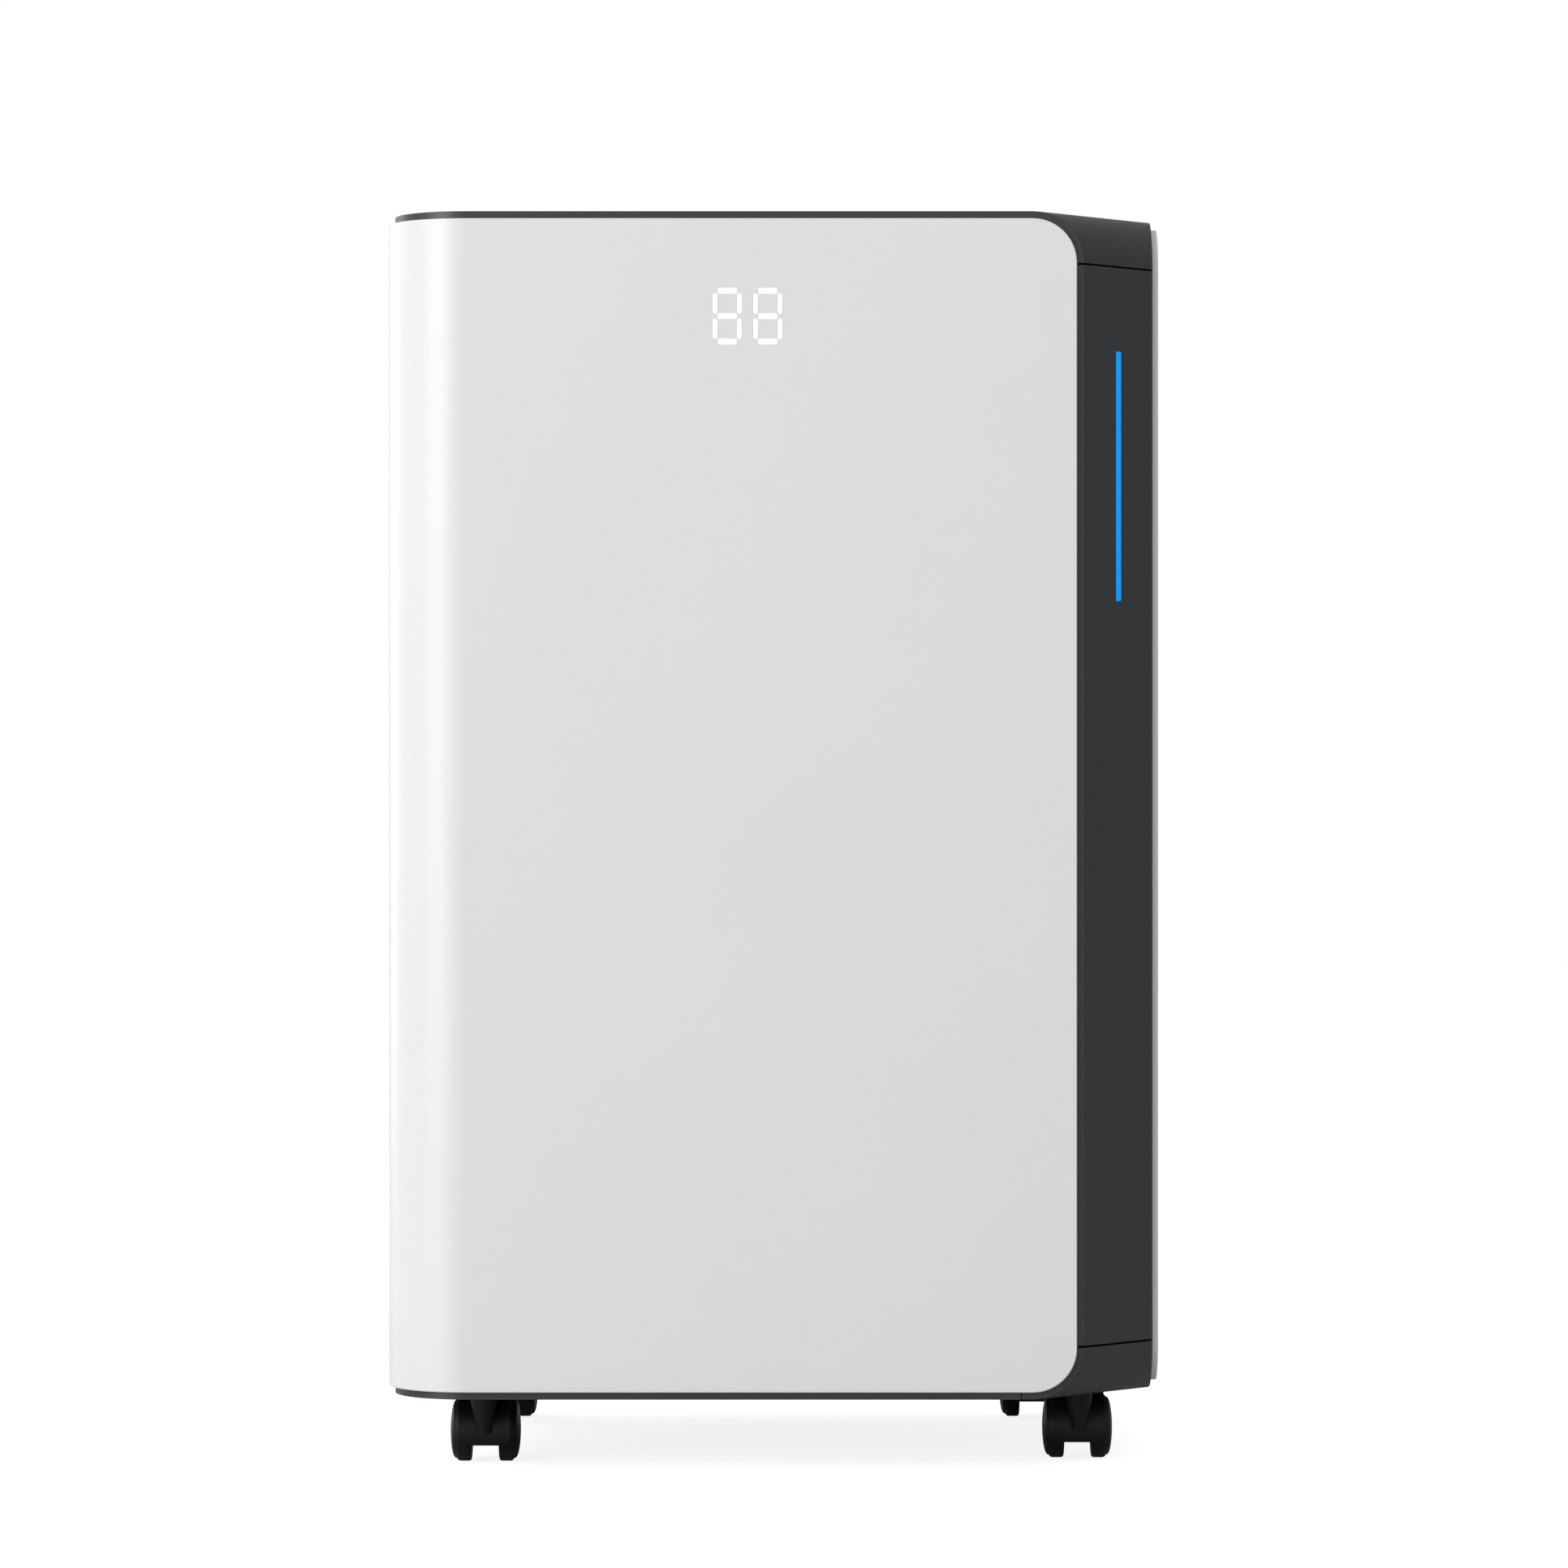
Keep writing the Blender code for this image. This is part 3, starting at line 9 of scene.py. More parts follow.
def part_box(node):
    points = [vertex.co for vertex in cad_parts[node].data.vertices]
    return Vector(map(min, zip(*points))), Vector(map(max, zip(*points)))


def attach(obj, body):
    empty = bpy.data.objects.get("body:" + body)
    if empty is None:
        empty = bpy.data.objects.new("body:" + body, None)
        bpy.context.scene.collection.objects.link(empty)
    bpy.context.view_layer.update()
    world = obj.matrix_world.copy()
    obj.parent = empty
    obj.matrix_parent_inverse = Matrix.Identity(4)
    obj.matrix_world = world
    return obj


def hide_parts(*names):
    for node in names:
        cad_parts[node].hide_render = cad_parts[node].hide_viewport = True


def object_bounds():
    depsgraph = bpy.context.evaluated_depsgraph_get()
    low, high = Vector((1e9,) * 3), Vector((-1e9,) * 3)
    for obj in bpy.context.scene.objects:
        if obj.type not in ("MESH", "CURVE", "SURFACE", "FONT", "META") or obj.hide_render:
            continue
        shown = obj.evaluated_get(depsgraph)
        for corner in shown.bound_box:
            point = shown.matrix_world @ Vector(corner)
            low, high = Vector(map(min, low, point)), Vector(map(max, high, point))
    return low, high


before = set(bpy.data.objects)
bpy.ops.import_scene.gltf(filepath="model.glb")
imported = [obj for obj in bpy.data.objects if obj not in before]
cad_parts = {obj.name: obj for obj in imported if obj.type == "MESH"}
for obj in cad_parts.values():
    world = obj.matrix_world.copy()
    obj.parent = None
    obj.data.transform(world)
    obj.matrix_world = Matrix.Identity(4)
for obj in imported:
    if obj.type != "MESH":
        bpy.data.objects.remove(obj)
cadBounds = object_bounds()
print("frame loaded")


# shapes

def loft(rings, loop=False):  # faces between rings; a ring of one point is a pole
    shape = bmesh.new()
    made = [[shape.verts.new(point) for point in ring] for ring in rings]
    pairs = list(zip(made, made[1:]))
    if loop:
        pairs.append((made[-1], made[0]))
    for below, above in pairs:
        count = max(len(below), len(above))
        for i in range(count):
            j = (i + 1) % count
            corners = [below[i % len(below)], below[j % len(below)]]
            corners += [above[j % len(above)], above[i % len(above)]]
            shape.faces.new(list(dict.fromkeys(corners)))
    if not loop:
        for ring in (made[0], made[-1]):
            if len(ring) > 2:
                shape.faces.new(ring)
    bmesh.ops.recalc_face_normals(shape, faces=shape.faces)
    return shape


def placed(point, axis, level):  # a plane point and its level along X, Y or Z
    found = list(point)
    found.insert("XYZ".index(axis), level)
    return found


def prism(outline, axis, start, end):
    return loft([[placed(point, axis, level) for point in outline] for level in (start, end)])


def block(low, high):
    outline = [(low[0], low[1]), (high[0], low[1]), (high[0], high[1]), (low[0], high[1])]
    return prism(outline, "Z", low[2], high[2])


def turned(profile, axis, centre=(0, 0, 0), segments=48, loop=False):  # profile of (radius, height)
    rings = []
    for radius, height in profile:
        ring = []
        for i in range(segments if radius > 0 else 1):
            angle = math.tau * i / segments
            point = placed((radius * math.cos(angle), radius * math.sin(angle)), axis, height)
            ring.append([a + b for a, b in zip(point, centre)])
        rings.append(ring)
    return loft(rings, loop)


def rod(radius, axis, centre, start, end, segments=32):
    return turned([(radius, start), (radius, end)], axis, centre, segments)


def arc(centre, radius, start, end, steps):  # angles in degrees
    angles = [math.radians(start + (end - start) * i / steps) for i in range(steps + 1)]
    return [(centre[0] + radius * math.cos(a), centre[1] + radius * math.sin(a)) for a in angles]


def roundedOutline(low, high, radius, steps=8):
    corners = [(high[0] - radius, high[1] - radius, 0), (low[0] + radius, high[1] - radius, 90),
               (low[0] + radius, low[1] + radius, 180), (high[0] - radius, low[1] + radius, 270)]
    points = []
    for x, y, start in corners:
        points += arc((x, y), radius, start, start + 90, steps)
    return points


def merged(shapes):
    result = bmesh.new()
    for shape in shapes:
        mesh = bpy.data.meshes.new("loose")
        shape.to_mesh(mesh)
        shape.free()
        result.from_mesh(mesh)
        bpy.data.meshes.remove(mesh)
    return result


def turnedShape(shape, angle, axis="Z", centre=(0, 0, 0)):
    bmesh.ops.rotate(shape, verts=shape.verts, cent=centre, matrix=Matrix.Rotation(angle, 3, axis))
    return shape


def shifted(shape, offset):
    bmesh.ops.translate(shape, verts=shape.verts, vec=offset)
    return shape


def looseObject(name, shape):
    mesh = bpy.data.meshes.new(name)
    shape.to_mesh(mesh)
    shape.free()
    made = bpy.data.objects.new(name, mesh)
    bpy.context.scene.collection.objects.link(made)
    return made


def bakeModifiers(piece):  # the evaluated mesh becomes the piece's own
    bpy.context.view_layer.update()
    graph = bpy.context.evaluated_depsgraph_get()
    baked = piece.evaluated_get(graph)
    mesh = bpy.data.meshes.new_from_object(baked, preserve_all_data_layers=True, depsgraph=graph)
    piece.modifiers.clear()
    piece.data = mesh
    mesh.name = piece.name


def useTools(piece, shapes, operation):  # adds or removes solids, one after the other
    tools = []
    for shape in shapes:
        tool = looseObject(piece.name + "Tool", shape)
        modifier = piece.modifiers.new(operation, "BOOLEAN")
        modifier.operation = operation
        modifier.solver = "EXACT"
        modifier.object = tool
        tools.append(tool)
    if tools:
        bakeModifiers(piece)
    for tool in tools:
        bpy.data.objects.remove(tool)


def common(first, second):  # what two shapes share
    piece = looseObject("blank", first)
    useTools(piece, [second], "INTERSECT")
    shape = bmesh.new()
    shape.from_mesh(piece.data)
    bpy.data.objects.remove(piece)
    return shape


moulding = {"edge": 0.0004, "limit": 38, "sharp": 50, "weld": 2e-6, "speck": 1e-6, "flat": 0.5}


def roundEdges(piece, edge, limit):  # the small moulded radius on every sharp edge
    shape = bmesh.new()
    shape.from_mesh(piece.data)
    bmesh.ops.remove_doubles(shape, verts=shape.verts, dist=moulding["weld"])
    bmesh.ops.dissolve_degenerate(shape, edges=shape.edges, dist=moulding["speck"])
    flat = math.radians(moulding["flat"])
    bmesh.ops.dissolve_limit(shape, angle_limit=flat, verts=shape.verts, edges=shape.edges)
    shape.to_mesh(piece.data)
    shape.free()
    bevel = piece.modifiers.new("radius", "BEVEL")
    bevel.width = edge
    bevel.segments = 3
    bevel.limit_method = "ANGLE"
    bevel.angle_limit = math.radians(limit)
    bevel.use_clamp_overlap = True
    bakeModifiers(piece)


def smoothNormals(piece):
    piece.data.shade_smooth()
    piece.data.set_sharp_from_angle(angle=math.radians(moulding["sharp"]))
    weighted = piece.modifiers.new("normals", "WEIGHTED_NORMAL")
    weighted.keep_sharp = True
    bakeModifiers(piece)


def enter(piece, body, replaced):  # its body and the nodes it stands for
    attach(piece, body)
    if replaced:
        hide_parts(*replaced)


def makePiece(name, shape, material, body, replaced=(),
              joins=(), cuts=(), lateCuts=(), edge=moulding["edge"]):
    piece = looseObject(name, shape)
    useTools(piece, joins, "UNION")
    useTools(piece, cuts, "DIFFERENCE")
    if edge:
        roundEdges(piece, edge, moulding["limit"])
    useTools(piece, lateCuts, "DIFFERENCE")
    smoothNormals(piece)
    piece.data.materials.clear()
    piece.data.materials.append(material)
    enter(piece, body, replaced)


# materials

def linear(hexColour):  # sRGB hex to a linear colour with alpha
    channels = [int(hexColour[i:i + 2], 16) / 255 for i in (1, 3, 5)]
    return tuple(c / 12.92 if c <= 0.04045 else ((c + 0.055) / 1.055) ** 2.4 for c in channels) + (1.0,)


def addNode(tree, kind, sockets=None, **settings):  # each socket takes a value or a (node, output) link
    node = tree.nodes.new(kind)
    for name, value in settings.items():
        setattr(node, name, value)
    for socket, value in (sockets or {}).items():
        if isinstance(value, tuple) and isinstance(value[0], bpy.types.Node):
            tree.links.new(value[0].outputs[value[1]], node.inputs[socket])
        else:
            node.inputs[socket].default_value = value
    return node


def startMaterial(name, **sockets):
    material = bpy.data.materials.new(name)
    material.use_nodes = True
    tree = material.node_tree
    shader = tree.nodes["Principled BSDF"]
    for socket, value in sockets.items():
        shader.inputs[socket.replace("_", " ")].default_value = value
    return material, tree, shader


def texture(tree, kind, sockets):  # a texture in the piece's own coordinates
    place = addNode(tree, "ShaderNodeTexCoord")
    return addNode(tree, kind, {"Vector": (place, "Object"), **sockets})


def twoTones(tree, mask, dark, light, socket):
    tone = addNode(tree, "ShaderNodeMix", {"Factor": mask}, data_type="RGBA")
    tone.inputs[6].default_value = linear(dark)
    tone.inputs[7].default_value = linear(light)
    tree.links.new(tone.outputs[2], socket)


def varySheen(tree, mask, low, high, shader):
    sheen = addNode(tree, "ShaderNodeMapRange", {"Value": mask, "To Min": low, "To Max": high})
    tree.links.new(sheen.outputs["Result"], shader.inputs["Roughness"])


def raiseRelief(tree, mask, strength, depth, shader):
    relief = addNode(tree, "ShaderNodeBump", {"Height": mask, "Strength": strength, "Distance": depth})
    tree.links.new(relief.outputs["Normal"], shader.inputs["Normal"])


def mouldedPlastic(name, light, dark, roughness, grain, depth, **sockets):
    # Two close tones drift over a hand's width, the sheen varies a little, and the mould's
    # spark-eroded grain breaks up the highlight. grain is its pitch in metres.
    material, tree, shader = startMaterial(name, **sockets)
    drift = texture(tree, "ShaderNodeTexNoise", {"Scale": 9.0, "Detail": 3.0})
    twoTones(tree, (drift, "Fac"), dark, light, shader.inputs["Base Color"])
    varySheen(tree, (drift, "Fac"), roughness - 0.03, roughness + 0.03, shader)
    eroded = texture(tree, "ShaderNodeTexNoise", {"Scale": 1 / grain, "Detail": 2.0, "Roughness": 0.6})
    raiseRelief(tree, (eroded, "Fac"), 1.0, depth, shader)
    return material


def streakedMetal(name, light, dark, roughness, stretch, pitch):
    # Brushed or drawn metal: fine streaks along one axis, so the highlight runs across them.
    material, tree, shader = startMaterial(name, Metallic=1.0)
    drawn = texture(tree, "ShaderNodeMapping", {"Scale": stretch})
    streaks = addNode(tree, "ShaderNodeTexNoise", {
        "Vector": (drawn, "Vector"), "Scale": 1 / pitch, "Detail": 3.0})
    twoTones(tree, (streaks, "Fac"), dark, light, shader.inputs["Base Color"])
    varySheen(tree, (streaks, "Fac"), roughness - 0.08, roughness + 0.08, shader)
    raiseRelief(tree, (streaks, "Fac"), 0.4, 0.00003, shader)
    return material


def litPlastic(name, colour, glow, power):
    # A light guide: even light from behind, and a clear skin that hardly reflects.
    material, tree, shader = startMaterial(
        name, Base_Color=linear(colour), IOR=1.49, Specular_IOR_Level=0.05)
    shader.inputs["Emission Strength"].default_value = power
    frost = texture(tree, "ShaderNodeTexNoise", {"Scale": 900.0, "Detail": 1.0})
    twoTones(tree, (frost, "Fac"), *glow, shader.inputs["Emission Color"])
    varySheen(tree, (frost, "Fac"), 0.22, 0.34, shader)
    return material


# Injection-moulded ABS, white: satin, with a grain so fine that it reads as plain
whiteAbs = mouldedPlastic("whiteAbs", "#E7E7E7", "#E4E4E4", 0.36, 0.0004, 0.000004, IOR=1.53)
# Injection-moulded ABS, charcoal: a low-gloss grained skin that lifts towards grey at a glance
charcoalAbs = mouldedPlastic("charcoalAbs", "#2F3234", "#2A2D2F", 0.40, 0.0006, 0.000012, IOR=1.53)
# Moulded ABS, mid grey: inner parts, left as moulded
greyAbs = mouldedPlastic("greyAbs", "#A3A6A8", "#9A9DA0", 0.48, 0.0008, 0.00001, IOR=1.53)
# Soft-touch coating over ABS: matt black that hardly shines
softBlack = mouldedPlastic("softTouchBlack", "#1D1D1E", "#171718", 0.72, 0.0005, 0.00002, IOR=1.5)
# Polished black acrylic: a hard clear gloss over black
blackAcrylic = mouldedPlastic("blackAcrylic", "#0B0B0C", "#080809", 0.10, 0.004, 0.000002, IOR=1.49)
# Glass-filled nylon, black: caster housings, a little more open in texture than ABS
blackNylon = mouldedPlastic("blackNylon", "#101011", "#0A0A0B", 0.46, 0.0007, 0.00002,
                            Specular_IOR_Level=0.28)
# Nylon wheel tread: turned smooth by use, slightly greyer
nylonTread = mouldedPlastic("nylonTread", "#151516", "#0F0F10", 0.40, 0.0012, 0.00001,
                            Specular_IOR_Level=0.28)
# Black rubber: matt, bumps like fine leather
blackRubber = mouldedPlastic("blackRubber", "#191919", "#121212", 0.82, 0.0009, 0.00004, IOR=1.5)
# Stove enamel on steel: the compressor can, glossy with slight orange peel
blackEnamel = mouldedPlastic("blackEnamel", "#131314", "#0D0D0E", 0.24, 0.0025, 0.00004, IOR=1.55)
# Closed-cell foam: the float, off-white and matt with open pores
whiteFoam = mouldedPlastic("whiteFoam", "#EDEBE3", "#DDDBD2", 0.9, 0.0012, 0.0002, IOR=1.4)
# Epoxy-glass board under green solder mask: an even sheen over a deep green
boardGreen = mouldedPlastic("boardGreen", "#1F6B3A", "#17552D", 0.35, 0.003, 0.00002, IOR=1.5)
# Zinc-plated pressed steel: pale, faintly streaked
zincSteel = streakedMetal("zincSteel", "#C9CBCD", "#AEB1B4", 0.34, (1, 1, 8), 0.004)
# Drawn copper tube: warm, with a little oxide in the streaks
drawnCopper = streakedMetal("drawnCopper", "#DC9470", "#A9603F", 0.30, (1, 1, 0.15), 0.003)
# Aluminium fin stock: bright edges, dull between
finAluminium = streakedMetal("finAluminium", "#D5D7D9", "#B4B7BA", 0.38, (1, 1, 0.1), 0.002)
# Blue-lit acrylic: an even saturated blue, for the bar and the lamps
blueLight = litPlastic("blueLitAcrylic", "#03263F", ("#019AFD", "#0398F8"), 1.0)
# White-lit acrylic: digits a little brighter than the white front
digitLight = litPlastic("whiteLitAcrylic", "#E8E8E8", ("#FFFFFF", "#FAFAFA"), 1.1)
# Smoked polypropylene, injection moulded: the tank, clear enough to read its level
smokedTank = mouldedPlastic("smokedPolypropylene", "#9FA6AB", "#8E959A", 0.20, 0.002, 0.00002,
                            IOR=1.49, Transmission_Weight=0.55)
print("materials made")


# floor, light and camera

studio = {
    "floorSize": 12.0, "floorColour": "#CBCBCB", "floorGlow": 0.84,
    "skyLeft": 1.10, "skyRight": 0.45, "skyUp": 0.25, "skyFront": 0.57,
    "aim": (0, 0, 0.3), "lights": (  # name, place, width and height, watts
        ("keySoftbox", (-3.0, -3.15, 1.0), (2.1, 3.3), 118.0),
        ("topSoftbox", (-0.3, -0.2, 2.4), (2.0, 2.0), 3.0),
        ("rimSoftbox", (-1.6, 1.3, 0.7), (1.0, 1.8), 10.5),
    ),
}

camera = bpy.data.objects.new("camera", bpy.data.cameras.new("camera"))
bpy.context.scene.collection.objects.link(camera)
camera.location = (0.00475, -2.758, 0.3194)
camera.rotation_euler = (math.radians(90), 0, 0)
camera.data.sensor_width = 36
camera.data.lens = 130.4
camera.data.clip_start = 0.05
camera.data.clip_end = 60
bpy.context.scene.camera = camera
bpy.context.scene.view_settings.view_transform = "Standard"

half = studio["floorSize"] / 2
floor = looseObject("floor", block((-half, -half, -0.001), (half, half, 0)))
paleFloor, floorTree, floorShader = startMaterial("palePaintedFloor", Roughness=0.9)
floorShader.inputs["Specular IOR Level"].default_value = 0.0
floorShader.inputs["Base Color"].default_value = linear(studio["floorColour"])
floorShader.inputs["Emission Color"].default_value = (1, 1, 1, 1)
seenFloor = addNode(floorTree, "ShaderNodeLightPath")
glow = addNode(floorTree, "ShaderNodeMath", {
    0: (seenFloor, "Is Camera Ray"), 1: studio["floorGlow"]}, operation="MULTIPLY")
floorTree.links.new(glow.outputs["Value"], floorShader.inputs["Emission Strength"])
floor.data.materials.append(paleFloor)

world = bpy.data.worlds.new("softStudio")
bpy.context.scene.world = world
world.use_nodes = True
sky = world.node_tree
sky.nodes.clear()
direction = addNode(sky, "ShaderNodeTexCoord")
sides = addNode(sky, "ShaderNodeSeparateXYZ", {"Vector": (direction, "Generated")})
across = addNode(sky, "ShaderNodeMapRange", {
    "Value": (sides, "X"), "From Min": -1.0, "From Max": -0.5,
    "To Min": studio["skyLeft"], "To Max": studio["skyRight"]}, interpolation_type="SMOOTHSTEP")
above = addNode(sky, "ShaderNodeMapRange", {
    "Value": (sides, "Z"), "From Min": 0.0, "From Max": 1.0, "To Min": 0.0, "To Max": studio["skyUp"]})
ahead = addNode(sky, "ShaderNodeMapRange", {
    "Value": (sides, "Y"), "From Min": -1.0, "From Max": -0.6,
    "To Min": studio["skyFront"], "To Max": 0.0}, interpolation_type="SMOOTHSTEP")
upAndAcross = addNode(sky, "ShaderNodeMath", {0: (across, "Result"), 1: (above, "Result")}, operation="ADD")
total = addNode(sky, "ShaderNodeMath", {0: (upAndAcross, "Value"), 1: (ahead, "Result")}, operation="ADD")
soft = addNode(sky, "ShaderNodeBackground", {"Strength": (total, "Value")})
plain = addNode(sky, "ShaderNodeBackground", {"Strength": 1.0, "Color": (1, 1, 1, 1)})
seen = addNode(sky, "ShaderNodeLightPath")
chosen = addNode(sky, "ShaderNodeMixShader", {
    "Fac": (seen, "Is Camera Ray"), 1: (soft, "Background"), 2: (plain, "Background")})
addNode(sky, "ShaderNodeOutputWorld", {"Surface": (chosen, "Shader")})

for name, place, size, power in studio["lights"]:
    light = bpy.data.lights.new(name, "AREA")
    light.shape = "RECTANGLE"
    light.size, light.size_y = size
    light.energy = power
    lamp = bpy.data.objects.new(name, light)
    lamp.location = place
    lamp.rotation_euler = (Vector(studio["aim"]) - Vector(place)).to_track_quat("-Z", "Y").to_euler()
    bpy.context.scene.collection.objects.link(lamp)
print("studio ready")


# cabinet: white shells over a charcoal body with two chamfered corners

cabinet = {
    "halfWidth": cadBounds[1].x, "halfDepth": cadBounds[1].y, "height": cadBounds[1].z,
    "proud": 0.003, "margin": 0.0035, "shellThick": 0.0027, "cornerRadius": 0.038, "shellEnd": 0.0205,
    "wall": 0.003, "endRadius": 0.024, "chamferLeg": 0.0335, "floorGap": 0.035, "seam": 0.0007,
    "cornerSteps": 20, "roundSteps": 12, "endSteps": 16, "bendSteps": 36,
    "shellEdge": 0.0007, "bodyEdge": 0.0006,
}
bodyX = cabinet["halfWidth"] - cabinet["proud"]
bodyY = cabinet["halfDepth"] - cabinet["proud"]
height = cabinet["height"]
wall = cabinet["wall"]
reach = bodyX + bodyY - cabinet["chamferLeg"]  # x - y all along the front chamfer
chamferX = reach - bodyY
chamferY = reach - bodyX
baseTop = cabinet["floorGap"] + cabinet["endRadius"]
coverBottom = height - cabinet["endRadius"]
gap = 0.0003  # between fitted pieces
past = 0.01  # how far a cut runs past the face it opens
through = 0.2  # reaches out of the cabinet from anywhere in it


def halfTurn(shape):
    return turnedShape(shape, math.pi)


def shellShape():  # wraps the front-left corner; both free ends are rounded off
    outerX, outerY, radius = cabinet["halfWidth"], cabinet["halfDepth"], cabinet["shellEnd"]
    margin, steps = cabinet["margin"], cabinet["endSteps"]
    low = cabinet["floorGap"] + margin
    high = height - margin
    ends = []
    for i in range(steps + 1):
        angle = math.pi / 2 * (1 - i / steps)
        ends.append((radius * (1 - math.sin(angle)), radius * (1 - math.cos(angle))))
    columns = [(chamferX - margin - along, -outerY, 0.0, 1.0, drop) for along, drop in ends]
    centre = Vector((cabinet["cornerRadius"] - outerX, cabinet["cornerRadius"] - outerY))
    for x, y in arc(centre, cabinet["cornerRadius"], 270, 180, cabinet["bendSteps"]):
        inward = (centre - Vector((x, y))).normalized()
        columns.append((x, y, inward.x, inward.y, 0.0))
    columns += [(-outerX, chamferY - margin - along, 1.0, 0.0, drop) for along, drop in reversed(ends)]
    rings = []
    for x, y, nx, ny, drop in columns:
        inner = (x + nx * cabinet["shellThick"], y + ny * cabinet["shellThick"])
        levels = (low + drop, high - drop)
        rings.append([(x, y, z) for z in levels] + [(*inner, z) for z in reversed(levels)])
    return loft(rings)


def bodyOutline(inset=0.0, setback=0.0):
    x, y = bodyX - inset, bodyY - inset
    radius = cabinet["cornerRadius"] - cabinet["proud"] - inset
    far = reach - setback - inset * math.sqrt(2)
    side = arc((radius - x, radius - y), radius, 180, 270, cabinet["cornerSteps"])
    side += [(far - y, -y), (x, x - far)]
    return side + [(-px, -py) for px, py in side]


def rolledLevels(inset, upward):
    radius = cabinet["endRadius"] - inset
    rings = []
    for i in range(cabinet["roundSteps"] + 1):
        angle = math.pi / 2 * i / cabinet["roundSteps"]
        rise = radius * math.sin(angle)
        z = coverBottom + rise if upward else baseTop - rise
        rings.append([(px, py, z) for px, py in bodyOutline(inset, radius * (1 - math.cos(angle)))])
    return rings


def trayShape(upward):
    return loft(rolledLevels(0.0, upward)[::-1] + rolledLevels(wall, upward))


display = {
    "centre": -0.0121, "low": 0.5223, "high": 0.5482, "width": 0.0137, "pitch": 0.0187, "thick": 0.0025,
    "tipAside": 0.0007, "tipAbove": 0.0010, "tipHalf": 0.35, "tipSet": 0.3, "tipShrink": 1.4,
}


def segmentOutlines(shrink):  # fourteen bars of two figure eights, with softened points
    half = display["thick"] / 2 - shrink
    across = display["width"] / 2 - display["thick"] / 2
    middle = (display["low"] + display["high"]) / 2
    rise = (display["high"] - display["low"]) / 2 - display["thick"] / 2
    aside = display["tipAside"] + shrink * display["tipShrink"]
    above = display["tipAbove"] + shrink * display["tipShrink"]
    bars = []
    for digit in (-1, 1):
        x0 = display["centre"] + digit * display["pitch"] / 2
        for z in (middle + rise, middle, middle - rise):
            bars.append(("X", x0 - across + aside, x0 + across - aside, z))
        for x in (x0 - across, x0 + across):
            bars += [("Z", low + above, low + rise - above, x) for low in (middle - rise, middle)]
    outlines = []
    for lie, start, end, level in bars:
        soft = half * display["tipHalf"]
        tip = soft * display["tipSet"]
        along = [(start + tip, -soft), (start + half, -half), (end - half, -half), (end - tip, -soft),
                 (end - tip, soft), (end - half, half), (start + half, half), (start + tip, soft)]
        outlines.append([(a, level + b) if lie == "X" else (level - b, a) for a, b in along])
    return outlines


windows = merged([prism(points, "Y", -through, -bodyY + past) for points in segmentOutlines(0)])
makePiece("frontShell", shellShape(), whiteAbs, "cabinet", ["front_shell"],
          lateCuts=[windows], edge=cabinet["shellEdge"])
barFront, barBack = -cabinet["halfDepth"] + 0.0001, -bodyY + 0.001
bars = [prism(points, "Y", barFront, barBack) for points in segmentOutlines(gap * 0.8)]
padLow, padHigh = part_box("digit_guide")
makePiece("litDigits", merged(bars), digitLight, "cabinet", ["digit_guide"], edge=0)
# The backing isn't lit, so a thin grey line shows round each bar
pad = block((padLow.x, -bodyY, padLow.z), (padHigh.x, padHigh.y, padHigh.z))
makePiece("digitBacking", pad, greyAbs, "cabinet", edge=0)

rear = {
    "room": 0.0005, "tankCorner": 0.004, "inletCorner": 0.003, "doorCorner": 0.001, "capRadius": 0.009,
    "screws": ((0.150, 0.080), (0.150, 0.300), (0.150, 0.520),
               (-0.129, 0.300), (-0.129, 0.520), (0.060, 0.200)),
    "screwWell": 0.0036, "wellDepth": 0.0016, "screwHead": 0.0030, "recess": 0.0003,
}
panelLow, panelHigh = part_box("tank_panel")
doorLow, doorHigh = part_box("filter_door")
inletLow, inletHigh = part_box("power_inlet")
capLow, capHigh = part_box("drain_cap")
capCentre = ((capLow.x + capHigh.x) / 2, 0, (capLow.z + capHigh.z) / 2)


def rearHole(low, high, room, radius):
    outline = roundedOutline((low.x - room, low.z - room), (high.x + room, high.z + room), radius)
    return prism(outline, "Y", bodyY - past, through)


backY = cabinet["halfDepth"]
wellFloor = backY - rear["wellDepth"]
wells = [rod(rear["screwWell"], "Y", (x, 0, z), wellFloor, through, 40) for x, z in rear["screws"]]
makePiece("rearShell", halfTurn(shellShape()), whiteAbs, "cabinet", ["rear_shell"], cuts=[
    rearHole(panelLow, panelHigh, rear["room"], rear["tankCorner"] + rear["room"]),
    rearHole(doorLow, doorHigh, rear["room"], rear["doorCorner"]),
    rearHole(inletLow, inletHigh, gap, rear["inletCorner"] + gap),
    rod(rear["capRadius"] + rear["room"], "Y", capCentre, bodyY - past, through, 48),
    merged(wells),
], edge=cabinet["shellEdge"])
print("shells made")


# top cover with its control plate, handle pocket and air outlet

top = {
    "pocketX": 0.079, "pocketY": (-0.059, -0.009), "pocketFloor": 0.562, "pocketCorner": 0.006,
    "outletX": 0.117, "outletY": (0.004, 0.075), "tubWall": 0.0025, "lap": 0.001,
    "plateX": (-0.0871, 0.0629), "plateY": (-0.124, -0.072), "plateThick": 0.0016, "plateCorner": 0.0037,
    "ledge": 0.004, "ledgeDeep": 0.012, "seatCorner": 0.004, "openingDeep": 0.02,
    "handlePivot": (0.0, -0.018, 0.5765), "handlePin": 0.003,
    "vaneY": (0.0129, 0.0306, 0.0484, 0.0661), "vaneZ": 0.5749, "vanePin": 0.0015,
}
pocketX, pocketY = top["pocketX"], top["pocketY"]
outletX, outletY = top["outletX"], top["outletY"]
plateX, plateY = top["plateX"], top["plateY"]
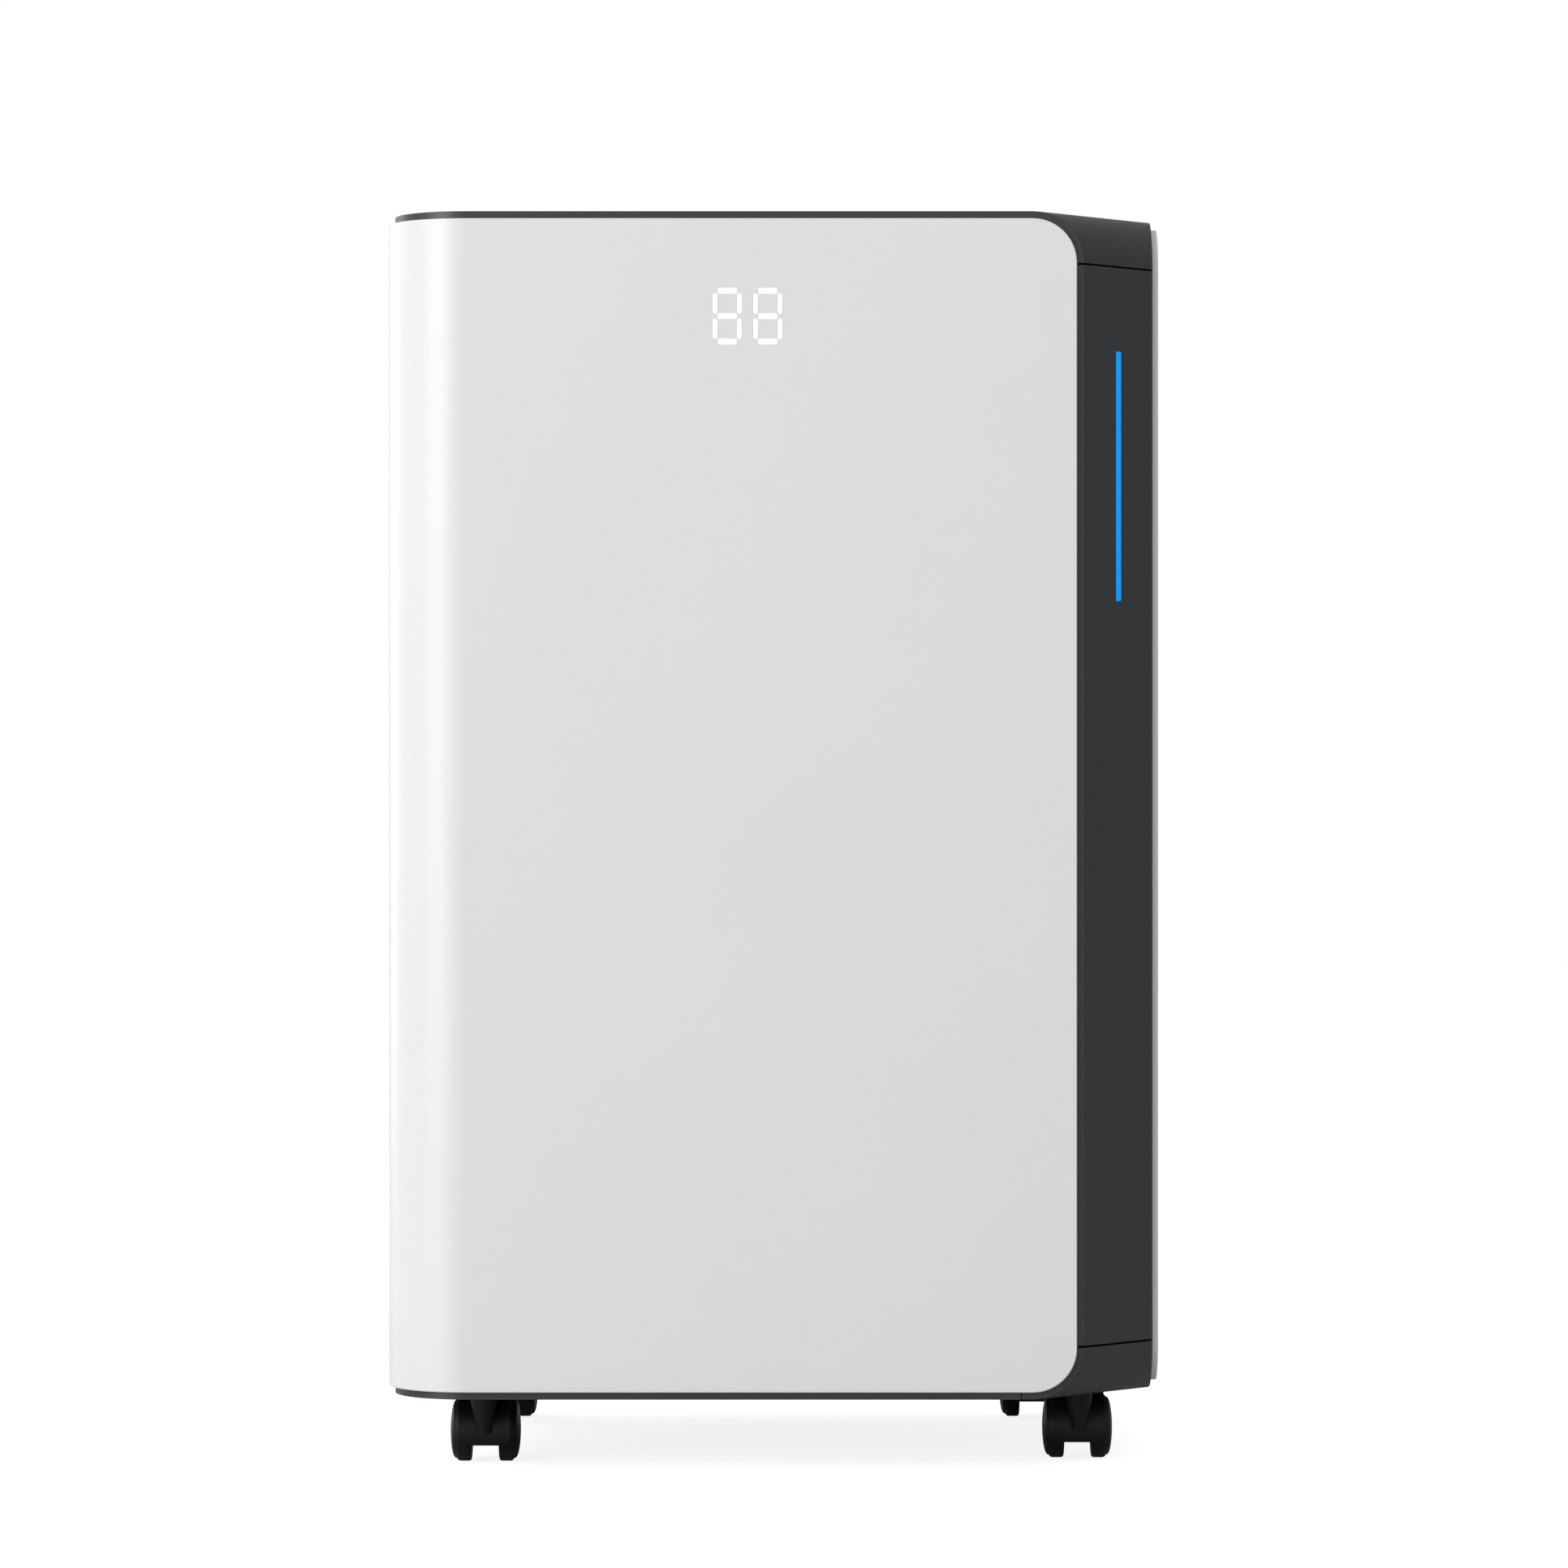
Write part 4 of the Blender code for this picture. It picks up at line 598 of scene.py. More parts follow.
tub, ledge, vaneZ = top["tubWall"], top["ledge"], top["vaneZ"]
roof = height - wall + top["lap"]
coverJoins = [
    block((-pocketX - tub, pocketY[0] - tub, top["pocketFloor"] - tub),
          (pocketX + tub, pocketY[1] + tub, roof)),
    block((-outletX - tub, outletY[0] - tub, coverBottom - 0.0005),
          (outletX + tub, outletY[1] + tub, roof)),
    block((plateX[0] - ledge, plateY[0] - ledge, height - top["ledgeDeep"]),
          (plateX[1] + ledge, plateY[1] + ledge, roof)),
]
pocketOutline = roundedOutline((-pocketX, pocketY[0]), (pocketX, pocketY[1]), top["pocketCorner"])
pocket = prism(pocketOutline, "Z", top["pocketFloor"], height + past)
outlet = block((-outletX, outletY[0], coverBottom - past), (outletX, outletY[1], height + past))
seatOutline = roundedOutline((plateX[0] - gap, plateY[0] - gap), (plateX[1] + gap, plateY[1] + gap),
                             top["seatCorner"])
seat = prism(seatOutline, "Z", height - top["plateThick"] - gap, height + past)
opening = block((plateX[0] + ledge, plateY[0] + ledge, height - top["openingDeep"]),
                (plateX[1] - ledge, plateY[1] - ledge, height - top["plateThick"]))
pinReach = pocketX + tub + top["lap"]
pins = [rod(top["handlePin"] + gap, "X", top["handlePivot"], -pinReach, pinReach)]
for y in top["vaneY"]:
    pins.append(rod(top["vanePin"] + gap, "X", (0, y, vaneZ), -outletX - past, outletX + past, 16))
makePiece("topCover", trayShape(True), charcoalAbs, "cabinet", ["top_cover"],
          joins=coverJoins, cuts=[pocket, outlet, seat, opening], lateCuts=[merged(pins)],
          edge=cabinet["bodyEdge"])


# base: pan, two corner pieces, and the corner panels between base and cover

base = {
    "cornerStart": 0.0625, "cornerStrip": 0.0343, "cornerPast": 0.02, "flange": 0.0145,
    "bossRadius": 0.0135, "bossDrop": 0.0015, "socketRadius": 0.0075, "socketHeight": 0.017,
    "stemRadius": 0.004, "casterTrail": 0.018,
}
wheelCentres = {}
for place in ("front_left", "front_right", "rear_left", "rear_right"):
    leftLow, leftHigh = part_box(f"caster_{place}_wheel_left")
    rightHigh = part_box(f"caster_{place}_wheel_right")[1]
    wheelCentres[place] = ((leftLow.x + rightHigh.x) / 2, (leftLow.y + leftHigh.y) / 2)


def baseCornerOutline(grow):
    start = bodyX - base["cornerStart"] - grow
    side = start - (bodyX - bodyY)
    far = bodyX + base["cornerPast"]
    edge = reach - base["cornerStrip"] - grow * 2
    return [(start, -far), (far, -far), (far, -side), (edge - side, -side), (start, start - edge)]


floorZ = cabinet["floorGap"]
bossStep = floorZ + wall - 0.001
socketTop = floorZ + base["socketHeight"]
bossRadius, socketRadius = base["bossRadius"], base["socketRadius"]
bosses, bores = [], []
for x, y in wheelCentres.values():
    stem = (x, y - base["casterTrail"], 0)
    profile = [(bossRadius, floorZ - base["bossDrop"]), (bossRadius, bossStep),
               (socketRadius, bossStep), (socketRadius, socketTop)]
    bosses.append(turned(profile, "Z", stem, 48))
    bores.append(rod(base["stemRadius"] + gap, "Z", stem, floorZ - past, socketTop - wall))
seams = [prism(baseCornerOutline(gap), "Z", -past, height) for end in ("front", "rear")]
halfTurn(seams[1])
makePiece("basePan", trayShape(False), charcoalAbs, "cabinet", ["base_pan"],
          joins=bosses, cuts=[merged(bores)] + seams, edge=cabinet["bodyEdge"])
for node, name in (("base_corner_front", "baseCornerFront"), ("base_corner_rear", "baseCornerRear")):
    corner = prism(baseCornerOutline(0), "Z", -past, height)
    kept = common(trayShape(False), halfTurn(corner) if name == "baseCornerRear" else corner)
    makePiece(name, kept, charcoalAbs, "cabinet", [node], edge=cabinet["bodyEdge"])


def cornerPanelShape():
    inner = bodyOutline(wall)
    first = cabinet["cornerSteps"] + 1
    flange = base["flange"]
    outline = [(chamferX - flange, -bodyY), (chamferX, -bodyY), (bodyX, -chamferY),
               (bodyX, -chamferY + flange), (bodyX - wall, -chamferY + flange),
               inner[first + 1], inner[first], (chamferX - flange, wall - bodyY)]
    return prism(outline, "Z", baseTop + cabinet["seam"], coverBottom - cabinet["seam"])


def onChamfer(shape):  # drawn with X along the chamfer and -Y outward
    turnedShape(shape, math.pi / 4)
    return shifted(shape, ((chamferX + bodyX) / 2, -(bodyY + chamferY) / 2, 0))


strip = {"width": 0.00315, "low": 0.4045, "high": 0.5203}
slotHalf = strip["width"] / 2 + gap / 2
stripSlot = block((-slotHalf, -past, strip["low"] - gap), (slotHalf, past, strip["high"] + gap))
makePiece("cornerPanelFront", cornerPanelShape(), charcoalAbs, "cabinet", ["corner_panel_front"],
          lateCuts=[onChamfer(stripSlot)], edge=cabinet["bodyEdge"])
makePiece("cornerPanelRear", halfTurn(cornerPanelShape()), charcoalAbs, "cabinet", ["corner_panel_rear"],
          edge=cabinet["bodyEdge"])
print("charcoal body made")


# repeated small pieces: one tree puts copies of a shape on the points of a mesh

def scatterOn(points, shape, name, material, cuts):
    tree = bpy.data.node_groups.new(name + "Tree", "GeometryNodeTree")
    tree.interface.new_socket("Geometry", in_out="OUTPUT", socket_type="NodeSocketGeometry")
    for label, kind in (("Points", "Geometry"), ("Shape", "Object"), ("Finish", "Material")):
        tree.interface.new_socket(label, in_out="INPUT", socket_type="NodeSocket" + kind)
    given = addNode(tree, "NodeGroupInput")
    source = addNode(tree, "GeometryNodeObjectInfo", {"Object": (given, "Shape")})
    copies = addNode(tree, "GeometryNodeInstanceOnPoints", {
        "Points": (given, "Points"), "Instance": (source, "Geometry")})
    real = addNode(tree, "GeometryNodeRealizeInstances", {"Geometry": (copies, "Instances")})
    painted = addNode(tree, "GeometryNodeSetMaterial", {
        "Geometry": (real, "Geometry"), "Material": (given, "Finish")})
    addNode(tree, "NodeGroupOutput", {"Geometry": (painted, "Geometry")})
    pattern = looseObject(name + "Pattern", shape)
    useTools(pattern, cuts, "DIFFERENCE")
    smoothNormals(pattern)
    holder = bmesh.new()
    for point in points:
        holder.verts.new(point)
    piece = looseObject(name, holder)
    modifier = piece.modifiers.new("copies", "NODES")
    modifier.node_group = tree
    sockets = {item.name: item.identifier for item in tree.interface.items_tree if item.in_out == "INPUT"}
    modifier[sockets["Shape"]] = pattern
    modifier[sockets["Finish"]] = material
    bakeModifiers(piece)
    bpy.data.objects.remove(pattern)
    return piece


def scattered(name, points, shape, material, body, cuts=(), replaced=()):
    enter(scatterOn(points, shape, name, material, cuts), body, replaced)


# carry handle, vanes, control plate and buttons

handle = {
    "halfWidth": 0.075, "halfThick": 0.006, "depth": 0.014, "corner": 0.0045, "edge": 0.0009,
    "armWidth": 0.010, "armLap": 0.005, "armInset": 0.001, "armRadius": 0.005, "pinLap": 0.002,
    "grooves": 9, "groovePitch": 0.009, "grooveRadius": 0.0016, "grooveDrop": 0.0009,
}
pivotY, pivotZ = top["handlePivot"][1:]
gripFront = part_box("carry_handle")[0].y
gripBack = gripFront + handle["depth"]
gripLow, gripHigh = pivotZ - handle["halfThick"], pivotZ + handle["halfThick"]
armLow, armHigh = gripLow + handle["armInset"], gripHigh - handle["armInset"]
armFront = gripFront + handle["armLap"]
grip = prism(roundedOutline((gripFront, gripLow), (gripBack, gripHigh), handle["corner"]),
             "X", -handle["halfWidth"], handle["halfWidth"])
arms = []
for side in (-1, 1):
    ends = sorted((side * handle["halfWidth"], side * (handle["halfWidth"] - handle["armWidth"])))
    outline = [(armFront, armLow), (pivotY, armLow)]
    outline += arc((pivotY, pivotZ), handle["armRadius"], -80, 80, 16)
    outline += [(pivotY, armHigh), (armFront, armHigh)]
    arms.append(prism(outline, "X", *ends))
    pin = sorted((side * (handle["halfWidth"] - handle["armLap"]), side * (pocketX + handle["pinLap"])))
    arms.append(rod(top["handlePin"], "X", (0, pivotY, pivotZ), *pin))
grooves = []
for i in range(handle["grooves"]):  # finger grooves under the grip
    place = ((i - (handle["grooves"] - 1) / 2) * handle["groovePitch"], 0, gripLow - handle["grooveDrop"])
    grooves.append(rod(handle["grooveRadius"], "Y", place, gripFront - past, gripBack + 0.002, 16))
makePiece("carryHandle", grip, softBlack, "carry_handle", ["carry_handle"],
          joins=arms, cuts=[merged(grooves)], edge=handle["edge"])

vane = {"tip": 0.0004, "bulge": 0.0013, "steps": 24, "endGap": 0.0005, "pinLap": 0.003, "edge": 0.0002}
bladeEnd, pinStart = outletX - vane["endGap"], outletX - vane["pinLap"]
for i, y in enumerate(top["vaneY"], start=1):
    body = f"louver_vane_{i}"
    vaneLow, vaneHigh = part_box(body)
    half = (vaneHigh.y - vaneLow.y) / 2
    section = []
    for step in range(vane["steps"] + 1):  # a thin lens, thickest at its middle
        t = -1 + 2 * step / vane["steps"]
        section.append((y + half * t, vaneZ + vane["tip"] + vane["bulge"] * (1 - t * t)))
    section += [(py, 2 * vaneZ - pz) for py, pz in reversed(section)]
    vanePins = [rod(top["vanePin"], "X", (0, y, vaneZ), *ends)
                for ends in ((vaneLow.x, -pinStart), (pinStart, vaneHigh.x))]
    makePiece(f"louverVane{i}", prism(section, "X", -bladeEnd, bladeEnd), charcoalAbs,
              body, [body], joins=vanePins, edge=vane["edge"])

controls = {
    "buttonRadius": 0.0075, "flangeWidth": 0.0015, "flangeThick": 0.0015, "dish": 0.0004,
    "plateEdge": 0.0003,
    "iconRadius": 0.0026, "iconStroke": 0.0004, "iconRise": 0.00006, "iconSunk": 0.0002, "iconLift": 0.0001,
    "lamp": 0.0006, "lampDrop": 0.0115,
}
plate = prism(roundedOutline((plateX[0], plateY[0]), (plateX[1], plateY[1]), top["plateCorner"]),
              "Z", height - top["plateThick"], height)
buttonPlaces = {}
for name in ("power", "fan", "timer", "humidity"):
    buttonLow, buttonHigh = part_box(f"button_{name}")
    buttonPlaces[name] = ((buttonLow.x + buttonHigh.x) / 2, (buttonLow.y + buttonHigh.y) / 2, buttonLow.z)
radius = controls["buttonRadius"]
holes = [rod(radius + gap, "Z", (x, y, 0), height - past, height + past, 48)
         for x, y, foot in buttonPlaces.values()]
makePiece("controlPlate", plate, blackAcrylic, "cabinet", ["control_plate"],
          cuts=[merged(holes)], edge=controls["plateEdge"])
lampPoints = [(x, y - controls["lampDrop"], height) for x, y, foot in buttonPlaces.values()]
lamp = controls["lamp"]
lampShape = turned([(lamp, -0.0002), (lamp, 0.00003), (lamp * 0.7, 0.0001), (0, 0.00012)], "Z", segments=16)
scattered("stateLamps", lampPoints, lampShape, blueLight, "cabinet")


def strokeRing(radius, start, end, centre=(0, 0)):  # an arc of even width, laid flat
    half = controls["iconStroke"] / 2
    steps = max(6, int((end - start) / 8))
    outline = arc(centre, radius + half, start, end, steps) + arc(centre, radius - half, end, start, steps)
    return prism(outline, "Z", -controls["iconSunk"], controls["iconRise"])


def strokeLine(first, last):
    along = (Vector(last) - Vector(first)).normalized()
    offset = Vector((-along.y, along.x)) * controls["iconStroke"] / 2
    first, last = Vector(first), Vector(last)
    outline = [first - offset, last - offset, last + offset, first + offset]
    return prism(outline, "Z", -controls["iconSunk"], controls["iconRise"])


def fanBlade(start):
    centre = arc((0, 0), mark * 0.5, start, start, 1)[0]
    return strokeRing(mark * 0.5, start, start + 170, centre)


mark = controls["iconRadius"]
icons = {
    "power": [strokeRing(mark, 125, 415), strokeLine((0, mark * 0.35), (0, mark * 1.25))],
    "fan": [fanBlade(start) for start in (0, 120, 240)],
    "timer": [strokeRing(mark, 0, 359), strokeLine((0, 0), (0, mark * 0.65)),
              strokeLine((0, 0), (mark * 0.5, 0))],
    "humidity": [strokeRing(mark * 0.75, 150, 390, (0, -mark * 0.25))],
}
for side in (-1, 1):  # the sides of the drop
    icons["humidity"].append(strokeLine((side * mark * 0.65, mark * 0.12), (0, mark * 1.15)))
# Pad-printed marks: a matt white ink that sits a hair above the cap
whiteInk = mouldedPlastic("whitePadInk", "#E6E6E6", "#DADADA", 0.6, 0.0008, 0.000002, IOR=1.45)
for name, (x, y, foot) in buttonPlaces.items():
    flange, flangeTop = radius + controls["flangeWidth"], foot + controls["flangeThick"]
    profile = [(flange, foot), (flange, flangeTop), (radius, flangeTop), (radius, height - 0.0004),
               (radius - 0.0003, height - 0.0001), (radius - 0.0006, height)]
    for t in (0.2, 0.4, 0.6, 0.8):  # a shallow dish for the fingertip
        profile.append((radius * (1 - t) - 0.0006, height - controls["dish"] * math.sin(t * math.pi / 2)))
    profile.append((0.0, height - controls["dish"]))
    body = f"button_{name}"
    makePiece(f"{name}Button", turned(profile, "Z", (x, y, 0), 64), blackAcrylic,
              body, [body], edge=0)
    printed = shifted(merged(icons[name]), (x, y, height - controls["dish"] + controls["iconLift"]))
    makePiece(f"{name}Mark", printed, whiteInk, body, edge=0)
print("top made")


# casters: a nylon fork with a hood over two domed wheels

caster = {
    "wheelRadius": 0.015, "wheelZ": 0.015, "space": 0.0132, "width": 0.0099,
    "axle": 0.0025, "axleInset": 0.004, "edge": 0.0005,
    "hoodWidth": 0.0244, "hoodThick": 0.0028, "hoodGap": 0.0008, "hoodCorner": 0.003,
    "hoodStart": 40, "hoodEnd": 200, "hoodSteps": 28,
    "stem": 0.004, "neckFoot": 0.0033, "neckWaist": 0.0060, "neck": 0.0064, "neckTop": 0.0332,
    "treadWidth": 0.0070, "hubDepth": 0.003, "domeWidth": 0.92, "domePower": 0.8, "segments": 64,
}
wheelRadius, axleZ, neckTop = caster["wheelRadius"], caster["wheelZ"], caster["neckTop"]
hoodStart, hoodEnd, hoodX = caster["hoodStart"], caster["hoodEnd"], caster["hoodWidth"] / 2
tread = caster["space"] / 2
rim = tread + caster["width"]


def hoodShape(x, y):  # an arched cover over both wheels, its lower corners rounded
    outer = wheelRadius + caster["hoodThick"]
    section = arc((y, axleZ), outer, hoodStart, hoodEnd, caster["hoodSteps"])
    section += arc((y, axleZ), wheelRadius + caster["hoodGap"], hoodEnd, hoodStart, caster["hoodSteps"])
    low = axleZ + outer * math.sin(math.radians(hoodEnd))
    front = roundedOutline((x - hoodX, low), (x + hoodX, axleZ + 2 * outer), caster["hoodCorner"])
    return common(prism(section, "X", x - hoodX, x + hoodX), prism(front, "Y", -through, through))


def neckShape(x, y):  # widens upward to the collar, then the stem that turns in the base
    collar, stem = caster["neck"], caster["stem"]
    stemTop = floorZ + base["socketHeight"] - wall - 0.001
    profile = [(caster["neckFoot"], axleZ), (caster["neckWaist"], axleZ + 0.0134),
               (collar, neckTop - 0.002), (collar, neckTop), (stem, neckTop), (stem, stemTop)]
    return turned(profile, "Z", (x, y - base["casterTrail"], 0), 40)


def webShape(x, y):
    outline = arc((y, axleZ), wheelRadius + caster["hoodThick"], hoodStart, hoodEnd, caster["hoodSteps"])
    outline += [(y - 0.004, axleZ - 0.0073), (y + 0.006, axleZ - 0.0060)]
    return prism(outline, "X", x - tread + gap, x + tread - gap)


def wheelProfile():  # (radius, distance from the fork's middle), from the bore round the tread to the hub
    bore = caster["axle"] + gap
    domeStart = tread + caster["treadWidth"]
    profile = [(bore, tread), (wheelRadius - 0.0045, tread), (wheelRadius - 0.005, tread + 0.0004),
               (wheelRadius - 0.0015, tread + 0.0004), (wheelRadius - 0.001, tread),
               (wheelRadius - 0.0003, tread + 0.0003), (wheelRadius, tread + 0.001),
               (wheelRadius, tread + 0.0056), (wheelRadius - 0.0003, tread + 0.0062),
               (wheelRadius - 0.0012, domeStart)]
    for angle in (12, 24, 36, 50, 64, 78):
        turn = math.radians(angle)
        rise = (rim - domeStart) * math.sin(turn) ** caster["domePower"]
        profile.append((wheelRadius * math.cos(turn) * caster["domeWidth"], domeStart + rise))
    return profile + [(0.0, rim), (0.0, rim - caster["hubDepth"]), (bore, rim - caster["hubDepth"])]


def openSkin(rings):  # without the flat faces that close the first and the last ring
    skin = loft(rings)
    bmesh.ops.delete(skin, geom=[face for face in skin.faces if len(face.verts) > 4], context="FACES_ONLY")
    return skin


def wheelShape(x, y, sign):
    rings = []
    for radius, along in wheelProfile():
        circle = arc((y, axleZ), radius, 0, 360, caster["segments"])[:-1] if radius else [(y, axleZ)]
        rings.append([(x + sign * along, py, pz) for py, pz in circle])
    wheel = merged([openSkin(rings[:-2]), openSkin([rings[0], rings[-1], rings[-2]])])
    bmesh.ops.remove_doubles(wheel, verts=wheel.verts, dist=1e-7)
    bmesh.ops.recalc_face_normals(wheel, faces=wheel.faces)
    return wheel


for place, (x, y) in wheelCentres.items():
    axleEnd = rim - caster["axleInset"]
    joins = [hoodShape(x, y), neckShape(x, y), rod(caster["axle"], "X", (x, y, axleZ), -axleEnd, axleEnd)]
    makePiece(f"casterFork_{place}", webShape(x, y), blackNylon, f"caster_{place}",
              [f"caster_{place}_fork"], joins=joins, edge=caster["edge"])
    for side, sign in (("left", -1), ("right", 1)):
        body = f"caster_{place}_wheel_{side}"
        makePiece(f"casterWheel_{place}_{side}", wheelShape(x, y, sign), nylonTread,
                  body, [body], edge=0)
print("casters made")


# back: screws, water tank, intake grille with its filter, drain cap and mains inlet

head = rear["screwHead"]
screwProfile = [(head, -0.0002), (head, 0.0003), (head * 0.85, 0.0008), (head * 0.5, 0.0011), (0, 0.0012)]
screwShape = turned(screwProfile, "Y", segments=20)
recess, arm = rear["recess"], head * 0.6
cross = [block((-halfX, 0.0004, -halfZ), (halfX, 0.003, halfZ))
         for halfX, halfZ in ((arm, recess), (recess, arm))]
screwPoints = [(x, wellFloor, z) for x, z in rear["screws"]]
scattered("rearScrews", screwPoints, screwShape, zincSteel, "cabinet", cuts=cross)

tankLow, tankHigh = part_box("water_tank")
lidLow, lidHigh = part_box("tank_lid")
tank = {
    "wall": 0.0025, "stepDepth": 0.026, "stepHeight": 0.040, "gripHalf": 0.036, "gripCorner": 0.006,
    "gripAbove": 0.006, "gripBelow": 0.010, "lidThick": 0.003, "dripBack": 0.016, "dripRadius": 0.012,
    "pinBack": 0.030, "pinDrop": 0.010, "pinRadius": 0.0015, "earRadius": 0.005, "earStart": 0.0085,
    "earEnd": 0.0115, "panelEdge": 0.0006, "tankEdge": 0.0008,
}
tankTop = panelHigh.z
stepZ = tankTop - tank["stepHeight"]
stepY = backY - tank["stepDepth"]
middleX = (panelLow.x + panelHigh.x) / 2
face = roundedOutline((panelLow.x, panelLow.z), (panelHigh.x, panelHigh.z), rear["tankCorner"])
gripOutline = roundedOutline((middleX - tank["gripHalf"], stepZ + tank["gripAbove"]),
                             (middleX + tank["gripHalf"], tankTop - tank["gripBelow"]), tank["gripCorner"])
makePiece("tankPanel", prism(face, "Y", bodyY, backY), whiteAbs, "tank", ["tank_panel"],
          cuts=[prism(gripOutline, "Y", 0, through)], edge=tank["panelEdge"])


def tankSide(inset, topZ):  # the tank seen from its side, with the step for the hand
    front, back, foot = tankLow.y + inset, bodyY - gap - inset, tankLow.z + inset
    return [(front, foot), (back, foot), (back, stepZ - inset),
            (stepY - inset, stepZ - inset), (stepY - inset, topZ), (front, topZ)]


tankWall = tank["wall"]
tankShape = common(prism(tankSide(0, tankHigh.z), "X", tankLow.x, tankHigh.x),
                   prism(face, "Y", -through, through))
tankHollow = prism(tankSide(tankWall, tankTop + past), "X", tankLow.x + tankWall, tankHigh.x - tankWall)
makePiece("waterTank", tankShape, smokedTank, "tank", ["water_tank"],
          cuts=[tankHollow], edge=tank["tankEdge"])

lidZ = tankTop - tank["lidThick"]
drip = (middleX, stepY - tank["dripBack"], 0)
pinY, pinZ = tankLow.y + tank["pinBack"], lidZ - tank["pinDrop"]
floatPin = (middleX, pinY, pinZ)
earRadius, earTop = tank["earRadius"], lidZ + 0.001
earOutline = [(pinY - earRadius, earTop)] + arc((pinY, pinZ), earRadius, 180, 360, 16)
earOutline += [(pinY + earRadius, earTop)]
ears = []
for side in (-1, 1):
    ends = sorted((middleX + side * tank["earStart"], middleX + side * tank["earEnd"]))
    ears.append(prism(earOutline, "X", *ends))
lidShape = common(block((lidLow.x, lidLow.y, lidZ), (lidHigh.x, lidHigh.y, tankTop)),
                  prism(face, "Y", -through, through))
lidCuts = [rod(tank["dripRadius"], "Z", drip, lidZ - past, tankTop + past, 48),
           rod(tank["pinRadius"] + gap, "X", floatPin, middleX - 0.02, middleX + 0.02, 24)]
makePiece("tankLid", lidShape, greyAbs, "tank", ["tank_lid"], joins=ears, cuts=lidCuts)

floater = {
    "armHalf": 0.003, "armThick": 0.002, "armLength": 0.045, "reach": 0.056, "droop": 20, "pinHalf": 0.0112,
    "profile": ((0.0145, -0.014), (0.016, -0.0135), (0.018, -0.010), (0.018, -0.0008), (0.0172, 0.0)),
}
armHalf, armThick = floater["armHalf"], floater["armThick"]
floatArm = block((middleX - armHalf, pinY - armThick, pinZ - armThick),
                 (middleX + armHalf, pinY + floater["armLength"], pinZ + armThick))
bob = turned(floater["profile"], "Z", (middleX, pinY + floater["reach"], pinZ), 48)
for shape in (floatArm, bob):
    turnedShape(shape, -math.radians(floater["droop"]), "X", floatPin)
pinHalf = floater["pinHalf"]
floatRod = rod(tank["pinRadius"], "X", floatPin, middleX - pinHalf, middleX + pinHalf, 24)
makePiece("tankFloat", floatArm, whiteFoam, "tank_float", ["tank_float"], joins=[bob, floatRod])

grille = {
    "frame": 0.014, "low": 0.018, "high": 0.030, "mullion": 0.004, "bayCorner": 0.002, "edge": 0.0005,
    "slats": 26, "slatThick": 0.0018, "slope": 0.0042, "slatInset": 0.0002, "slatLap": 0.0005,
    "gripHalf": 0.030, "gripLow": 0.021, "gripHigh": 0.009, "gripCorner": 0.005,
}
hingeY = (bodyY + backY) / 2
hingeRadius = (backY - bodyY) / 2
hingeZ = doorLow.z + hingeRadius
doorSide = [(bodyY, doorHigh.z), (bodyY, hingeZ)] + arc((hingeY, hingeZ), hingeRadius, 180, 360, 16)[1:-1]
doorSide += [(backY, hingeZ), (backY, doorHigh.z)]
bayLow, bayHigh = doorLow.z + grille["low"], doorHigh.z - grille["high"]
openings = [roundedOutline((-grille["gripHalf"], doorHigh.z - grille["gripLow"]),
                           (grille["gripHalf"], doorHigh.z - grille["gripHigh"]), grille["gripCorner"])]
for side in (1, -1):
    near, far = sorted((side * grille["mullion"] / 2, side * (doorHigh.x - grille["frame"])))
    openings.insert(0, roundedOutline((near, bayLow), (far, bayHigh), grille["bayCorner"]))
doorCuts = [prism(outline, "Y", bodyY - past, backY + past) for outline in openings]
makePiece("filterDoor", prism(doorSide, "X", doorLow.x, doorHigh.x), whiteAbs,
          "filter_door", ["filter_door"], cuts=doorCuts, edge=grille["edge"])
slatPitch = (bayHigh - bayLow) / grille["slats"]
inside, outside = bodyY + grille["slatInset"], backY - grille["slatInset"]
thick, slope = grille["slatThick"], grille["slope"]
section = [(inside, slope / 2), (inside, slope / 2 + thick),
           (outside, thick - slope / 2), (outside, -slope / 2)]
slatEnd = grille["frame"] - grille["slatLap"]
slatShape = prism(section, "X", doorLow.x + slatEnd, doorHigh.x - slatEnd)
slatPoints = [(0, 0, bayLow + slatPitch * (i + 0.5) - thick / 2) for i in range(grille["slats"])]
scattered("grilleSlats", slatPoints, slatShape, whiteAbs, "filter_door")

# Woven nylon mesh, drawn with threads 1.6 mm apart so that the weave shows
airFilter = {
    "rim": 0.006, "lap": 0.001, "ribPitch": 0.036, "ribWidth": 0.0022, "thread": 0.0016, "edge": 0.0005,
    "meshFront": 0.0008, "meshBack": 0.0014, "ribFront": 0.0012, "ribInset": 0.0005,
}
wovenNylon, tree, shader = startMaterial("wovenNylonMesh", Roughness=0.65)
wavePitch = airFilter["thread"] * 3.183  # a wave texture repeats about every third of its scale
weave = [texture(tree, "ShaderNodeTexWave", {"Scale": 1 / wavePitch}) for axis in "XZ"]
for threads, axis in zip(weave, "XZ"):
    threads.wave_type, threads.bands_direction = "BANDS", axis
crossing = addNode(tree, "ShaderNodeMath", {
    0: (weave[0], "Fac"), 1: (weave[1], "Fac")}, operation="MAXIMUM")
twoTones(tree, (crossing, "Value"), "#1A1B1C", "#5A5D60", shader.inputs["Base Color"])
raiseRelief(tree, (crossing, "Value"), 0.8, 0.0003, shader)

